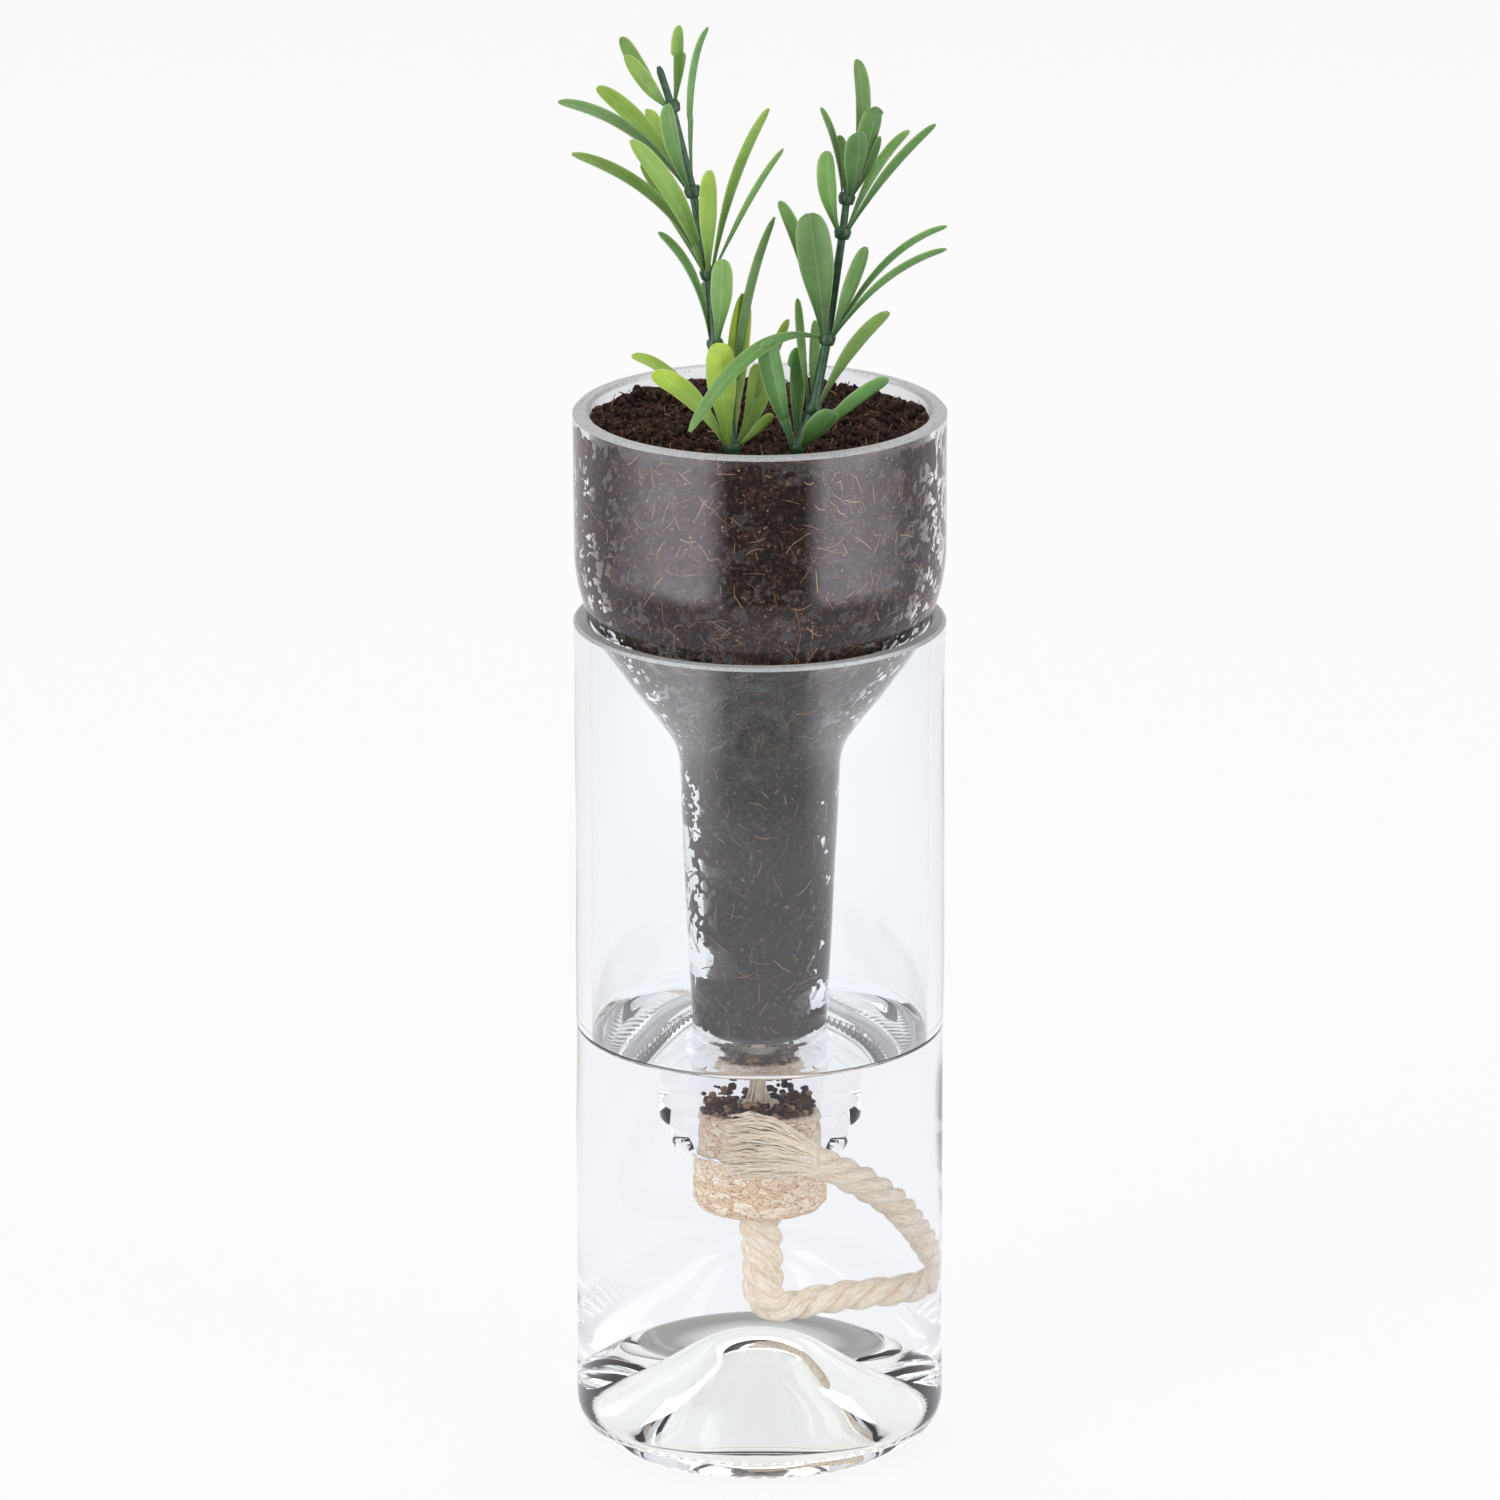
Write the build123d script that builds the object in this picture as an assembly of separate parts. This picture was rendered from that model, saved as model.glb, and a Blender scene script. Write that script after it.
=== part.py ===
from build123d import *

import math
import os

# Self-watering jar planter: a wine bottle cut in two. The lower part is the water jar, and the
# upper part stands neck down in it as the funnel that holds the soil. A bored cork closes the
# neck, and a cotton rope through the cork draws the water up. Two plastic sprigs stand in the
# soil. Millimetres. The origin is the centre of the base, on the surface that the jar stands on,
# with +Z up and the front of the planter towards -Y.

# The bottle glass, one value for both parts
BOTTLE_RADIUS = 37.5
GLASS_WALL = 3.3
RIM_BEVEL = 0.6

# The jar, from the bottle's lower part, cut to the height at which the funnel's rope just has room
HEEL_RADIUS = 9.0
PUNT_RADIUS = 26.0
PUNT_HEIGHT = 23.0
PUNT_CROWN_RADIUS = 5.5
PUNT_CROWN_ROUND = 12.0
BASE_GLASS = 5.0
FLOOR_GUTTER = 4.86
FLOOR_CORNER_RADIUS = 3.3

# The funnel, from the bottle's upper part, with its neck pointing down
SEAT_GAP = 0.3
FUNNEL_HEIGHT = 153.5
SKIRT_HEIGHT = 28.2
SHOULDER_RADIUS = 35.0
SHOULDER_SLOPE = 34.8
NECK_ROOT_RADIUS = 16.4
NECK_BLEND_RADIUS = 14.0
NECK_END_RADIUS = 13.5
NECK_BORE_RADIUS = 12.8

# The bottle's mouth: a band with a groove, and a lip below it
BAND_RADIUS = 15.0
BAND_TOP = 20.5
BAND_ROUND = 0.8
GROOVE_HEIGHT = 9.6
GROOVE_WIDTH = 1.6
GROOVE_DEPTH = 0.5
LIP_RADIUS = 13.2
LIP_HEIGHT = 6.0
LIP_ROUND = 1.6
MOUTH_BORE_RADIUS = 9.25
MOUTH_BORE_LENGTH = 9.6
MOUTH_FLARE_LENGTH = 10.4

# The cork and the cotton rope through it
CORK_CLEARANCE = 0.08
CORK_RADIUS = 10.1
CORK_OUTSIDE = 13.0
CORK_INSIDE = 9.2
CORK_ROUND = 3.6
CORK_EDGE_ROUND = 0.8
ROPE_RADIUS = 3.25
ROPE_BORE_CLEARANCE = 0.1
ROPE_DROP = 22.3
WICK_REACH = 50.0

# The soil and the water, which keep clear of the glass and of what stands in them
SOIL_GAP = 0.3
SOIL_BELOW_RIM = 5.4
SOIL_EDGE_ROUND = 1.5
SOIL_ABOVE_MOUTH = 23.0
SOIL_COLUMN_ROUND = 3.0
WATER_GAP = 0.3
WATER_LEVEL = 86.5

# The sprigs: a wire-like stem each, with moulded whorls of leaves pressed on it
SPRIG_HEIGHT = 79.4
STEM_RADIUS = 1.1
STEM_DEPTH = 40.0
STEM_BEND_RADIUS = 12.0
COLLAR_RADIUS = 2.3
COLLAR_HEIGHT = 2.4
COLLAR_CLEARANCE = 0.1
COLLAR_RISE = 0.8
LEAF_REACH = 40.0
LEAF_WIDTH = 4.4
LEAF_THICKNESS = 0.7

# Where each stem stands in the soil, across and towards the back, as shares of the bore radius
LEFT_PLANTING_SHARES = (-0.16, -0.53)
RIGHT_PLANTING_SHARES = (0.22, -0.53)
# The stems above the soil, as shares of the sprig height from the planting point: each place that
# a whorl sits at, lowest first, and then the stem's end
LEFT_STEM_SHARES = [
    (-0.043, 0.025, 0.28),
    (-0.06, 0.05, 0.455),
    (-0.098, 0.075, 0.66),
    (-0.15, 0.10, 0.87),
    (-0.183, 0.113, 0.97),
]
RIGHT_STEM_SHARES = [
    (0.038, 0.012, 0.118),
    (0.073, 0.025, 0.294),
    (0.111, 0.062, 0.557),
    (0.121, 0.075, 0.642),
    (0.124, 0.079, 0.67),
]
# Each leaf, from its whorl: where its tip and its middle lie, as shares of the leaf reach, then
# its width as a share of the leaf width, and how much of its broad side it turns to the front
LEFT_BASE_LEAF_SHARES = [
    ((0.055, 0.10, 0.765), (0.01, 0.05, 0.385), 1.0, 0.8),
    ((-0.06, -0.08, 0.56), (-0.05, -0.05, 0.31), 1.0, 1.0),
    ((-0.50, 0.12, 0.44), (-0.27, 0.06, 0.32), 0.7, 0.6),
    ((-0.40, -0.05, 0.385), (-0.21, -0.03, 0.27), 1.0, 0.85),
    ((0.21, 0.12, 1.15), (0.06, 0.09, 0.62), 0.7, 0.6),
    ((0.125, 0.18, 0.385), (0.11, 0.10, 0.21), 0.9, 0.9),
    ((0.20, 0.08, 0.15), (0.13, 0.05, 0.085), 0.7, 0.8),
    ((0.28, 0.30, 0.58), (0.17, 0.18, 0.34), 0.7, 0.7),
]
LEFT_LOWER_LEAF_SHARES = [
    ((-0.28, 0.0, 0.57), (-0.11, 0.0, 0.34), 0.7, 0.4),
    ((0.035, -0.12, 0.465), (0.03, -0.09, 0.25), 1.0, 1.0),
    ((-0.05, 0.20, 0.27), (-0.03, 0.10, 0.14), 0.7, 0.9),
]
LEFT_MIDDLE_LEAF_SHARES = [
    ((-0.67, -0.05, 0.62), (-0.26, -0.03, 0.385), 0.9, 0.4),
    ((-0.38, -0.18, 0.72), (-0.15, -0.11, 0.38), 1.0, 0.8),
    ((-0.33, 0.20, 0.51), (-0.20, 0.10, 0.31), 0.8, 0.6),
    ((0.005, -0.22, 0.58), (0.005, -0.13, 0.29), 0.9, 0.9),
    ((0.30, 0.12, 0.81), (0.13, 0.06, 0.44), 0.9, 0.55),
    ((0.37, -0.10, 0.66), (0.20, -0.05, 0.375), 0.7, 0.4),
]
LEFT_UPPER_LEAF_SHARES = [
    ((-0.66, -0.12, 0.48), (-0.31, -0.06, 0.32), 0.9, 0.35),
    ((-0.475, 0.20, 0.48), (-0.23, 0.10, 0.28), 0.9, 0.8),
    ((-0.22, 0.28, 0.35), (-0.15, 0.14, 0.22), 0.8, 0.7),
    ((-0.125, -0.20, 0.49), (-0.09, -0.12, 0.26), 0.9, 0.8),
    ((0.075, 0.05, 0.82), (-0.005, 0.07, 0.50), 0.7, 0.4),
]
LEFT_TOP_LEAF_SHARES = [
    ((-0.25, 0.10, 0.33), (-0.15, 0.04, 0.16), 0.8, 0.8),
    ((-0.23, -0.08, 0.28), (-0.11, -0.06, 0.11), 0.8, 0.8),
    ((0.035, 0.05, 0.40), (0.03, 0.05, 0.21), 0.8, 0.7),
]
RIGHT_BASE_LEAF_SHARES = [
    ((0.45, 0.05, 0.34), (0.257, 0.03, 0.21), 0.8, 0.8),
    ((0.18, -0.12, 0.22), (0.09, -0.08, 0.11), 1.0, 0.9),
    ((-0.17, -0.06, 0.59), (-0.115, -0.03, 0.33), 1.0, 0.95),
    ((-0.005, 0.10, 0.49), (-0.01, 0.09, 0.26), 0.8, 0.75),
]
RIGHT_LOWER_LEAF_SHARES = [
    ((0.375, -0.05, 0.505), (0.19, -0.03, 0.30), 0.9, 0.8),
    ((-0.08, 0.05, 0.55), (-0.06, 0.04, 0.29), 0.6, 0.6),
    ((0.01, 0.20, 0.40), (0.0, 0.10, 0.21), 0.7, 0.7),
]
RIGHT_MIDDLE_LEAF_SHARES = [
    ((-0.24, 0.0, 0.70), (-0.12, 0.0, 0.40), 0.9, 0.65),
    ((-0.09, -0.12, 0.67), (-0.05, -0.08, 0.36), 1.05, 1.0),
    ((0.19, -0.08, 0.49), (0.11, -0.06, 0.26), 0.8, 0.9),
    ((0.59, 0.10, 0.55), (0.287, 0.05, 0.37), 0.9, 0.4),
    ((0.585, -0.12, 0.49), (0.28, -0.06, 0.31), 0.9, 0.45),
    ((-0.68, -0.28, -0.40), (-0.34, -0.16, -0.015), 0.8, 0.7),
]
RIGHT_UPPER_LEAF_SHARES = [
    ((-0.08, -0.10, 0.44), (-0.07, -0.06, 0.22), 0.9, 0.95),
    ((0.33, 0.12, 0.49), (0.165, 0.09, 0.29), 0.8, 0.65),
    ((0.455, -0.08, 0.57), (0.22, -0.05, 0.31), 0.8, 0.6),
]
RIGHT_TOP_LEAF_SHARES = [
    ((0.045, 0.10, 0.68), (0.075, 0.08, 0.39), 0.8, 0.85),
    ((0.145, -0.02, 0.47), (0.095, -0.03, 0.28), 0.8, 0.9),
    ((0.05, -0.15, 0.37), (0.045, -0.09, 0.20), 0.85, 0.9),
    ((-0.13, 0.0, 0.46), (-0.055, 0.0, 0.255), 0.5, 0.5),
    ((-0.035, 0.17, 0.28), (-0.02, 0.10, 0.135), 0.7, 0.8),
    ((0.16, -0.02, 0.32), (0.12, 0.0, 0.175), 0.6, 0.6),
]
# A leaf's width along its length: the share of the length, and the share of the width there
LEAF_OUTLINE_SHARES = [(0.0, 0.32), (0.3, 0.72), (0.62, 1.0), (0.88, 0.74), (1.0, 0.14)]

# Each clod heaped on the soil, as shares of the bore radius: its place, its reach and its height
SOIL_CLOD_SHARES = [
    (-0.61, 0.26, 0.235, 0.062),
    (-0.32, 0.57, 0.245, 0.058),
    (0.09, 0.63, 0.220, 0.052),
    (0.47, 0.50, 0.245, 0.064),
    (0.69, 0.15, 0.235, 0.062),
    (-0.19, 0.19, 0.220, 0.058),
    (0.23, 0.22, 0.220, 0.058),
    (-0.66, -0.19, 0.220, 0.058),
    (0.69, -0.22, 0.205, 0.052),
    (-0.51, -0.51, 0.205, 0.052),
    (0.51, -0.55, 0.170, 0.046),
    (0.03, -0.20, 0.205, 0.052),
    (0.03, -0.76, 0.150, 0.042),
]

# Heights and radii that follow
BORE_RADIUS = BOTTLE_RADIUS - GLASS_WALL
SLOPE = math.tan(math.radians(SHOULDER_SLOPE))
HALF_SLOPE = math.tan(math.radians(SHOULDER_SLOPE / 2))
CORK_BOTTOM = PUNT_HEIGHT + BASE_GLASS + ROPE_DROP
MOUTH_HEIGHT = CORK_BOTTOM + CORK_OUTSIDE
CORK_TOP = MOUTH_HEIGHT + CORK_INSIDE
WICK_TOP = CORK_BOTTOM + WICK_REACH
FUNNEL_RIM = MOUTH_HEIGHT + FUNNEL_HEIGHT
SKIRT_BASE = FUNNEL_RIM - SKIRT_HEIGHT
# The arc of the shoulder passes the lower edge of the jar's inner bevel at the seat gap.
EDGE_REACH = BORE_RADIUS - (BOTTLE_RADIUS - SHOULDER_RADIUS)
JAR_HEIGHT = SKIRT_BASE + RIM_BEVEL - math.sqrt((SHOULDER_RADIUS + SEAT_GAP) ** 2 - EDGE_REACH**2)
SHOULDER_CORNER = SKIRT_BASE - SHOULDER_RADIUS * HALF_SLOPE
NECK_CORNER = SHOULDER_CORNER - (BOTTLE_RADIUS - NECK_ROOT_RADIUS) / SLOPE
INNER_SHOULDER_CORNER = SHOULDER_CORNER + GLASS_WALL * HALF_SLOPE
INNER_NECK_CORNER = INNER_SHOULDER_CORNER - (BORE_RADIUS - NECK_BORE_RADIUS) / SLOPE
FLARE_BASE = MOUTH_HEIGHT + MOUTH_BORE_LENGTH
FLARE_TOP = FLARE_BASE + MOUTH_FLARE_LENGTH
FLARE_RADIUS = NECK_END_RADIUS - GLASS_WALL
SOIL_HEIGHT = FUNNEL_RIM - SOIL_BELOW_RIM
SOIL_BOTTOM = MOUTH_HEIGHT + SOIL_ABOVE_MOUTH

# The rope's free stretch: straight down out of the cork, along over the top of the floor to the
# wall, and up again to the front of the neck. The loosened end goes on from its last point.
ROPE_ROUTE = [
    (0.0, 0.0, CORK_BOTTOM),
    (0.0, 0.0, 31.9),
    (28.5, 3.5, 31.8),
    (29.0, -9.5, 46.0),
    (22.4, -18.6, 57.6),
    (9.4, -21.6, 67.2),
]
FRAY_ROUTE = [(9.4, -21.6, 67.2), (3.8, -22.2, 69.4), (-1.8, -22.2, 70.2), (-6.6, -21.6, 69.8)]
FRAY_HEIGHT_SHARES = (1.0, 1.65, 1.8, 1.5)
FRAY_DEPTH_SHARES = (1.0, 1.15, 1.1, 0.7)
ARC_SHARE = 0.45


def turned(outline, radii):
    """A solid turned about the upright axis, from corners in radius and height, each rounded."""
    return revolve(make_face(Plane.XZ * FilletPolyline(*outline, radius=radii, close=True)), axis=Axis.Z)


def upright(x, y, low, high, radius):
    """An upright round bar between two heights."""
    return Pos(x, y, (low + high) / 2) * Cylinder(radius, high - low)


def jar_inside(gap, top):
    """The jar's inside up to a height, as a solid held back from the glass by a gap."""
    # The floor is a ball's top that runs down into a gutter along the wall.
    corner_x = BORE_RADIUS - FLOOR_CORNER_RADIUS
    corner_z = FLOOR_GUTTER + FLOOR_CORNER_RADIUS
    crown = PUNT_HEIGHT + BASE_GLASS + FLOOR_CORNER_RADIUS
    centre = (crown + corner_z - corner_x**2 / (crown - corner_z)) / 2
    sphere = PUNT_HEIGHT + BASE_GLASS - centre
    dome = sphere + gap
    corner = FLOOR_CORNER_RADIUS - gap
    lean = math.atan2(corner_x, corner_z - centre)
    meet = (dome * math.sin(lean), centre + dome * math.cos(lean))
    half = (dome * math.sin(lean / 2), centre + dome * math.cos(lean / 2))
    wall = BORE_RADIUS - gap
    turn = math.pi / 4 - lean / 2
    bend = (corner_x + corner * math.sin(turn), corner_z - corner * math.cos(turn))
    outline = [
        ThreePointArc((0, centre + dome), half, meet),
        ThreePointArc(meet, bend, (wall, corner_z)),
        Polyline((wall, corner_z), (wall, top), (0, top), (0, centre + dome)),
    ]
    return revolve(make_face(Plane.XZ * Curve(outline)), axis=Axis.Z)


def reservoir_jar():
    """The jar: punted base, flat bearing ring, round heel and a wall up to the ground rim."""
    outline = [
        (0, 0),
        (BOTTLE_RADIUS, 0),
        (BOTTLE_RADIUS, JAR_HEIGHT - RIM_BEVEL),
        (BOTTLE_RADIUS - RIM_BEVEL, JAR_HEIGHT),
        (0, JAR_HEIGHT),
    ]
    glass = turned(outline, [0, HEEL_RADIUS, 0, 0, 0])
    punt = [(0, 0), (PUNT_RADIUS, 0), (PUNT_CROWN_RADIUS, PUNT_HEIGHT), (0, PUNT_HEIGHT)]
    glass = glass - turned(punt, [0, 0, PUNT_CROWN_ROUND, 0])
    glass = glass - jar_inside(0, JAR_HEIGHT + RIM_BEVEL)
    bevel = [
        (0, JAR_HEIGHT - RIM_BEVEL),
        (BORE_RADIUS, JAR_HEIGHT - RIM_BEVEL),
        (BORE_RADIUS + 2 * RIM_BEVEL, JAR_HEIGHT + RIM_BEVEL),
        (0, JAR_HEIGHT + RIM_BEVEL),
    ]
    return glass - turned(bevel, [0, 0, 0, 0])


def planter_funnel():
    """The funnel: skirt, shoulder, tapering neck, and the bottle's mouth at its lower end."""
    groove = MOUTH_HEIGHT + GROOVE_HEIGHT
    corners = [
        (BOTTLE_RADIUS - RIM_BEVEL, FUNNEL_RIM, 0),
        (BOTTLE_RADIUS, FUNNEL_RIM - RIM_BEVEL, 0),
        (BOTTLE_RADIUS, SHOULDER_CORNER, SHOULDER_RADIUS),
        (NECK_ROOT_RADIUS, NECK_CORNER, NECK_BLEND_RADIUS),
        (NECK_END_RADIUS, MOUTH_HEIGHT + BAND_TOP, BAND_ROUND),
        (BAND_RADIUS, MOUTH_HEIGHT + BAND_TOP - 2 * BAND_ROUND, BAND_ROUND),
        (BAND_RADIUS, groove + GROOVE_WIDTH / 2, 0),
        (BAND_RADIUS - GROOVE_DEPTH, groove, 0),
        (BAND_RADIUS, groove - GROOVE_WIDTH / 2, 0),
        (BAND_RADIUS, MOUTH_HEIGHT + LIP_HEIGHT, BAND_ROUND),
        (LIP_RADIUS, MOUTH_HEIGHT + LIP_HEIGHT, 0),
        (LIP_RADIUS, MOUTH_HEIGHT, LIP_ROUND),
        (MOUTH_BORE_RADIUS, MOUTH_HEIGHT, LIP_ROUND / 2),
        (MOUTH_BORE_RADIUS, FLARE_BASE, 0),
        (FLARE_RADIUS, FLARE_TOP, 0),
        (NECK_BORE_RADIUS, INNER_NECK_CORNER, NECK_BLEND_RADIUS + GLASS_WALL),
        (BORE_RADIUS, INNER_SHOULDER_CORNER, SHOULDER_RADIUS - GLASS_WALL),
        (BORE_RADIUS, FUNNEL_RIM - RIM_BEVEL, 0),
        (BORE_RADIUS + RIM_BEVEL, FUNNEL_RIM, 0),
    ]
    return turned([c[:2] for c in corners], [c[2] for c in corners])


def clod(x, y, reach, height):
    """A low dome of soil that stands on the soil's surface and reaches a little into it."""
    ball = (reach**2 + height**2) / (2 * height)
    dome = Pos(x, y, SOIL_HEIGHT + height - ball) * Sphere(ball)
    return dome & upright(x, y, SOIL_HEIGHT - SOIL_EDGE_ROUND, SOIL_HEIGHT + ball, ball)


def potting_soil():
    """The soil: it fills the funnel and the neck, with room for the stems and the wick."""
    rise = (SOIL_BOTTOM - FLARE_TOP) / (INNER_NECK_CORNER - FLARE_TOP)
    foot = FLARE_RADIUS + rise * (NECK_BORE_RADIUS - FLARE_RADIUS) - SOIL_GAP
    corners = [
        (0, SOIL_BOTTOM, 0),
        (foot, SOIL_BOTTOM, SOIL_COLUMN_ROUND),
        (NECK_BORE_RADIUS - SOIL_GAP, INNER_NECK_CORNER, NECK_BLEND_RADIUS + GLASS_WALL),
        (BORE_RADIUS - SOIL_GAP, INNER_SHOULDER_CORNER, SHOULDER_RADIUS - GLASS_WALL),
        (BORE_RADIUS - SOIL_GAP, SOIL_HEIGHT, SOIL_EDGE_ROUND),
        (0, SOIL_HEIGHT, 0),
    ]
    soil = turned([c[:2] for c in corners], [c[2] for c in corners])
    for shares in SOIL_CLOD_SHARES:
        soil = soil + clod(*(share * BORE_RADIUS for share in shares))
    for shares in (LEFT_PLANTING_SHARES, RIGHT_PLANTING_SHARES):
        x, y = (share * BORE_RADIUS for share in shares)
        foot = SOIL_HEIGHT - STEM_DEPTH - SOIL_GAP
        soil = soil - upright(x, y, foot, SOIL_HEIGHT + SOIL_GAP, STEM_RADIUS + SOIL_GAP)
    return soil - upright(0, 0, SOIL_BOTTOM - SOIL_GAP, WICK_TOP + SOIL_GAP, ROPE_RADIUS + SOIL_GAP)


def cork_stopper():
    """The cork: a plug pressed in the mouth, a wider end below it, and a bore for the rope."""
    bore = ROPE_RADIUS + ROPE_BORE_CLEARANCE
    plug = MOUTH_BORE_RADIUS - CORK_CLEARANCE
    shoulder = MOUTH_HEIGHT - SEAT_GAP
    corners = [
        (bore, CORK_BOTTOM, 0),
        (CORK_RADIUS, CORK_BOTTOM, CORK_ROUND),
        (CORK_RADIUS, shoulder, CORK_EDGE_ROUND),
        (plug, shoulder, 0),
        (plug, CORK_TOP, CORK_EDGE_ROUND),
        (bore, CORK_TOP, 0),
    ]
    return turned([c[:2] for c in corners], [c[2] for c in corners])


def corner_radii(route):
    """The radius of the arc at each inner point of a route, as large as its two runs allow."""
    points = [Vector(*point) for point in route]
    radii = []
    for before, here, after in zip(points, points[1:], points[2:]):
        turn = (here - before).get_angle(after - here)
        run = min((here - before).length, (after - here).length)
        radii.append(ARC_SHARE * run / math.tan(math.radians(turn / 2)))
    return radii


def tube(route, arcs, radius):
    """A round bar along straight runs joined by tangent arcs of the given radii."""
    path = FilletPolyline(*route, radius=arcs)
    return sweep(Plane(origin=path @ 0, z_dir=path % 0) * Circle(radius), path)


def frayed_end(gap):
    """The loosened end of the rope, grown by a gap."""
    points = [Vector(*point) for point in FRAY_ROUTE]
    run_in = points[0] - Vector(*ROPE_ROUTE[-2])
    headings = [run_in] + [after - before for before, after in zip(points, points[2:] + points[-1:])]
    slices = []
    for point, heading, height, depth in zip(points, headings, FRAY_HEIGHT_SHARES, FRAY_DEPTH_SHARES):
        across = heading.cross(Vector(0, 1, 0))
        plane = Plane(origin=point, x_dir=across, z_dir=heading)
        slices.append(plane * Ellipse(height * ROPE_RADIUS + gap, depth * ROPE_RADIUS + gap))
    return loft(slices)


def water():
    """The water, up to its level, with room for the neck, the cork and the rope."""
    envelope = [
        (0, CORK_BOTTOM - WATER_GAP, 0),
        (CORK_RADIUS + WATER_GAP, CORK_BOTTOM - WATER_GAP, CORK_ROUND),
        (CORK_RADIUS + WATER_GAP, MOUTH_HEIGHT - WATER_GAP, 0),
        (LIP_RADIUS + WATER_GAP, MOUTH_HEIGHT - WATER_GAP, LIP_ROUND),
        (LIP_RADIUS + WATER_GAP, MOUTH_HEIGHT + LIP_HEIGHT - WATER_GAP, 0),
        (BAND_RADIUS + WATER_GAP, MOUTH_HEIGHT + LIP_HEIGHT - WATER_GAP, BAND_ROUND),
        (BAND_RADIUS + WATER_GAP, WATER_LEVEL + WATER_GAP, 0),
        (0, WATER_LEVEL + WATER_GAP, 0),
    ]
    fill = jar_inside(WATER_GAP, WATER_LEVEL)
    fill = fill - turned([c[:2] for c in envelope], [c[2] for c in envelope])
    rope = tube(ROPE_ROUTE, corner_radii(ROPE_ROUTE), ROPE_RADIUS + WATER_GAP)
    return fill - rope - frayed_end(WATER_GAP)


def leaf(whorl_centre, tip_shares, middle_shares, width_share, front_share):
    """One curved leaf, through thin slices across a bend from the whorl to the tip."""
    tip = whorl_centre + Vector(*tip_shares) * LEAF_REACH
    middle = whorl_centre + Vector(*middle_shares) * LEAF_REACH
    outward = Vector(middle.X - whorl_centre.X, middle.Y - whorl_centre.Y, 0)
    if outward.length > 0:
        outward = outward.normalized() * (COLLAR_RADIUS + STEM_RADIUS) / 2
    root = whorl_centre + outward
    bend = middle * 2 - (root + tip) / 2
    slices = []
    for share, width in LEAF_OUTLINE_SHARES:
        centre = root * (1 - share) ** 2 + bend * (2 * share * (1 - share)) + tip * share**2
        along = ((bend - root) * (1 - share) + (tip - bend) * share).normalized()
        flat = along.cross(Vector(0, 1, 0)).normalized()
        across = flat * front_share + along.cross(flat) * math.sqrt(1 - front_share**2)
        half = width * width_share * LEAF_WIDTH / 2
        thick = min(LEAF_THICKNESS / 2, half)
        lens = Curve([
            ThreePointArc((-half, 0), (0, thick), (half, 0)),
            ThreePointArc((half, 0), (0, -thick), (-half, 0)),
        ])
        slices.append(make_face(Plane(origin=centre, x_dir=across, z_dir=along) * lens))
    return loft(slices)


def sprig(planting_shares, stem_shares, whorls):
    """A sprig as named solids: its stem, and each whorl of leaves with its collar on the stem."""
    planting = [share * BORE_RADIUS for share in planting_shares]
    foot = Vector(*planting, SOIL_HEIGHT + COLLAR_RISE)
    places = [foot + Vector(0, 0, SOIL_GAP + COLLAR_HEIGHT / 2)]
    places += [foot + Vector(*shares) * SPRIG_HEIGHT for shares in stem_shares]
    route = [foot - Vector(0, 0, STEM_DEPTH)] + places
    room = tube(route, STEM_BEND_RADIUS, STEM_RADIUS + COLLAR_CLEARANCE)
    pieces = {"stem": tube(route, STEM_BEND_RADIUS, STEM_RADIUS)}
    for index, (name, leaves) in enumerate(whorls):
        heading = (places[index + 1] - places[index - 1]) if index else Vector(0, 0, 1)
        collar = Plane(origin=places[index], z_dir=heading) * Cylinder(COLLAR_RADIUS, COLLAR_HEIGHT)
        pieces[name] = collar + [leaf(places[index], *row) for row in leaves] - room
    return pieces


def save(shape, node):
    """Writes one piece to its own file."""
    shape.label = node
    export_step(shape, f"parts/{node}.step")


os.makedirs("parts", exist_ok=True)
save(reservoir_jar(), "reservoir_jar")
save(water(), "water")
save(planter_funnel(), "planter_funnel")
save(potting_soil(), "potting_soil")
save(cork_stopper(), "cork_stopper")
save(upright(0, 0, CORK_BOTTOM, WICK_TOP, ROPE_RADIUS), "wick_core")
rope_arcs = corner_radii(ROPE_ROUTE)
tail = tube(ROPE_ROUTE, rope_arcs, ROPE_RADIUS)
save(tail, "wick_tail")
save(frayed_end(0), "wick_frayed_end")
tail_length = FilletPolyline(*ROPE_ROUTE, radius=rope_arcs).length
section_times_length = math.pi * ROPE_RADIUS**2 * tail_length
print("rope arc radii", [round(radius, 1) for radius in rope_arcs])
print("rope length", round(tail_length, 1), "volume ratio", round(tail.volume / section_times_length, 4))

left = sprig(LEFT_PLANTING_SHARES, LEFT_STEM_SHARES, [
    ("base_whorl", LEFT_BASE_LEAF_SHARES),
    ("lower_whorl", LEFT_LOWER_LEAF_SHARES),
    ("middle_whorl", LEFT_MIDDLE_LEAF_SHARES),
    ("upper_whorl", LEFT_UPPER_LEAF_SHARES),
    ("top_whorl", LEFT_TOP_LEAF_SHARES),
])
right = sprig(RIGHT_PLANTING_SHARES, RIGHT_STEM_SHARES, [
    ("base_whorl", RIGHT_BASE_LEAF_SHARES),
    ("lower_whorl", RIGHT_LOWER_LEAF_SHARES),
    ("middle_whorl", RIGHT_MIDDLE_LEAF_SHARES),
    ("upper_whorl", RIGHT_UPPER_LEAF_SHARES),
    ("top_whorl", RIGHT_TOP_LEAF_SHARES),
])
for side, pieces in (("left", left), ("right", right)):
    for name, shape in pieces.items():
        save(shape, f"{side}_{name}")
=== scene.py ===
import math
import random

import bpy
import numpy as np
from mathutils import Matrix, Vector, noise


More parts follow.
